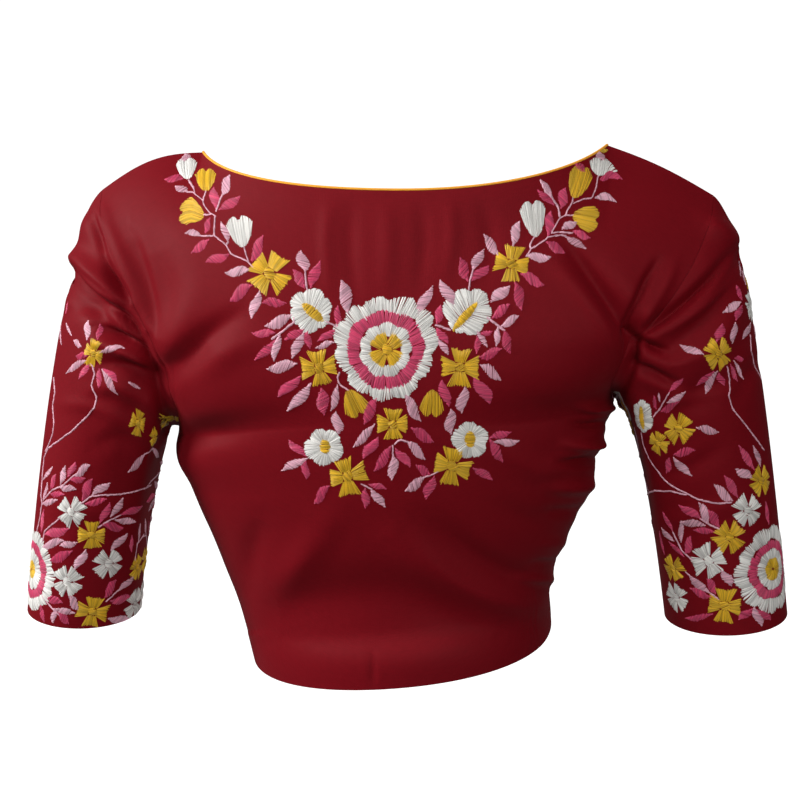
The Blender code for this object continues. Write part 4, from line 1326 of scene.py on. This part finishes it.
SLEEVE_STEMS = {
    "left": (
        (
            91, 363, 94.6, 373.4, 91.5, 385, 96.4, 396.6, 94.6, 407.3, 87.5, 415.8, 71.4, 431.4,
            58, 441.3, 48.2, 448.4, 44.2, 457.3, 42.5, 475, 41, 494.5, 42, 503.7, 39.4, 521, 37, 531,
        ),
        (54, 377.9, 54.9, 392, 52.8, 406.4, 53.8, 421.6, 52.7, 434, 48.7, 444.8, 45.5, 452),
        (81, 472, 73, 476, 62.9, 485.3, 51.6, 490.4, 43, 500.6),
        (81.2, 503.7, 90.4, 496.5, 102.7, 495, 122, 494, 140.4, 489.4, 151, 485),
        (145, 453.8, 150.9, 449.7),
        (60.8, 517.4, 44.5, 531.2, 42, 545.5),
        (98.6, 527, 109.8, 520, 121, 515),
        (42, 595.5, 53.7, 609.8, 60.3, 616),
        (106.7, 601, 117, 591.4, 123, 586.3),
        (134.8, 560.8, 137.3, 543.5, 144, 534),
    ),
    "right": (
        (
            727.4, 367, 729.6, 379.6, 730, 388.6, 728.8, 395.7,
            732.3, 408.2, 742, 420.7, 753.8, 435.9, 764, 450,
        ),
        (750.2, 335, 751, 351, 754.6, 366.3, 761, 379),
        (653.3, 416.3, 660, 409, 669, 393),
        (
            641.3, 433.2, 643.5, 444.8, 648.4, 457.3, 654.6, 467, 660.4, 475,
            670.7, 485.3, 686, 493, 698.3, 499.6, 714.6, 503.2, 731, 502.7,
        ),
        (647, 494.5, 655.4, 490.4, 670.7, 491, 686, 495),
        (700.3, 519, 709.5, 525, 719.7, 528.7),
        (672.8, 532.2, 682, 550.6, 692, 559.8),
        (709.5, 592.5, 718.7, 599.6),
        (686, 572, 689, 575),
    ),
}
SLEEVE_FLOWERS = {
    "left": {
        "yellow": (
            (93, 353, 14, 70), (138, 423.4, 15, 76), (154, 437.7, 12, 50), (91.6, 535, 15, 90),
            (92.4, 611.8, 17, 78), (137.3, 567, 14, 60),
        ),
        "white": (
            (71, 512.3, 16, 50), (108.8, 563.4, 16.5, 47), (67, 581.7, 16.5, 40), (135, 603.7, 17, 45),
        ),
    },
    "right": {
        "yellow": (
            (719, 354.2, 17, 41), (678.5, 428.5, 16.5, 51), (658, 443, 13, 68), (761.5, 481, 16, 48),
            (730, 537, 16, 41), (673, 568, 14, 30), (724.5, 606, 18, 80),
        ),
        "white": (
            (748, 510.5, 17, 47), (708.5, 561, 18, 25), (676.3, 597.6, 16, 53), (750, 306, 15, 30),
        ),
    },
}
SLEEVE_LOBED = {"left": (), "right": ((641, 406, 644, 430, 643, 417, 17, 9, 6),)}
SLEEVE_RINGS = {
    "left": {
        "white": ((32, 569, 29, 41, 10, 0.13), (32, 569, 9, 22, 8, 0.15)),
        "pink": ((32, 569, 20.5, 31, 10, 0.08),),
        "yellow": ((32, 569, 1.5, 10.5, 6, 0.2),),
    },
    "right": {
        "white": ((773, 569, 30, 43, 10, 0.13), (773, 569, 11, 22, 8, 0.15)),
        "pink": ((773, 569, 20.5, 31.5, 10, 0.08),),
        "yellow": ((773, 569, 1.5, 12.5, 6, 0.2),),
    },
}
for side, (sleeve, surface) in sleeves.items():
    batches = gather(
        surface,
        SLEEVE_LEAVES[side],
        SLEEVE_STEMS[side],
        SLEEVE_FLOWERS[side],
        SLEEVE_LOBED[side],
        {},
        SLEEVE_RINGS[side],
        (0.5, 0.7),
        both_halves=True,
    )
    threads = [
        embroider(f"{side}_sleeve_{colour}", batch, surface, THREADS[colour])
        for colour, batch in batches.items()
    ]

# Floor, light and camera
# A pale floor and room that glow white only in the picture, and the photo's own view. Five soft lamps light
# the seen back, the strongest from the left, and two the front. Those two give no gloss, which would edge the
# shoulders in grey. Lamps are in metres and watts.
IMAGE_SIZE = 800
SENSOR_WIDTH = 36.0
FLOOR_DROP = -0.9
FLOOR_REACH = 30
FLOOR_GREY = 0.15
SEEN_GLOW = 1.1
ROOM_LIGHT = 0.08
LAMP_AIM = np.array([0, 0, -0.18])
corners = [
    (x * FLOOR_REACH, y * FLOOR_REACH, FLOOR_DROP) for x, y in ((-1, -1), (1, -1), (1, 1), (-1, 1))
]
floor_mesh = bpy.data.meshes.new("floor")
floor_mesh.from_pydata(corners, [], [(0, 1, 2, 3)])
floor = bpy.data.objects.new("floor", floor_mesh)
bpy.context.scene.collection.objects.link(floor)


def lit_white(tree, colour, strength, lit):
    """A white that glows by SEEN_GLOW in the picture and by lit on what it lights."""
    path = tree.nodes.new("ShaderNodeLightPath")
    glow = tree.nodes.new("ShaderNodeMapRange")
    glow.inputs["To Min"].default_value = lit
    glow.inputs["To Max"].default_value = SEEN_GLOW
    tree.links.new(path.outputs["Is Camera Ray"], glow.inputs["Value"])
    tree.links.new(glow.outputs["Result"], strength)
    colour.default_value = (1, 1, 1, 1)


pale, pale_shader = plain_material("pale_floor", Base_Color=(*[FLOOR_GREY] * 3, 1), Roughness=0.9)
glowing = [pale_shader.inputs[name] for name in ("Emission Color", "Emission Strength")]
lit_white(pale.node_tree, *glowing, 0.0)
floor_mesh.materials.append(pale)

room = bpy.data.worlds.new("room")
room.use_nodes = True
sky = room.node_tree.nodes["Background"]
lit_white(room.node_tree, sky.inputs["Color"], sky.inputs["Strength"], ROOM_LIGHT)
bpy.context.scene.world = room
bpy.context.scene.view_settings.view_transform = "Standard"

LAMPS = table(
    "x y z size power",
    (-2.0, -0.35, 0.9, 0.6, 48),
    (-1.5, -1.4, 0.7, 0.6, 13),
    (0.5, -2.0, 0.6, 0.9, 11),
    (0.0, -0.8, 1.7, 0.9, 8),
    (1.3, -1.6, 0.4, 0.7, 6),
    (0.8, 2.0, 0.8, 0.9, 18),
    (-0.9, 2.0, 0.8, 0.9, 14),
)
for number, (x, y, z, size, power) in enumerate(zip(*LAMPS.values())):
    light = bpy.data.lights.new(f"lamp_{number}", "AREA")
    light.energy = power
    light.size = size
    lamp = bpy.data.objects.new(light.name, light)
    lamp.location = (x, y, z)
    lamp.visible_glossy = y < 0
    direction = LAMP_AIM - (x, y, z)
    lamp.rotation_euler = Vector(direction).to_track_quat("-Z", "Y").to_euler()
    bpy.context.scene.collection.objects.link(lamp)

lens = bpy.data.cameras.new("camera")
lens.sensor_width = SENSOR_WIDTH
lens.lens = FOCUS * SENSOR_WIDTH / IMAGE_SIZE
lens.shift_x = (IMAGE_SIZE / 2 - IMAGE_CENTRE[0]) / IMAGE_SIZE
lens.shift_y = (IMAGE_CENTRE[1] - IMAGE_SIZE / 2) / IMAGE_SIZE
lens.clip_end = 30
camera = bpy.data.objects.new("camera", lens)
camera.location = EYE * MM
camera.rotation_euler = Vector((AIM - EYE)).to_track_quat("-Z", "Y").to_euler()
bpy.context.scene.collection.objects.link(camera)
bpy.context.scene.camera = camera
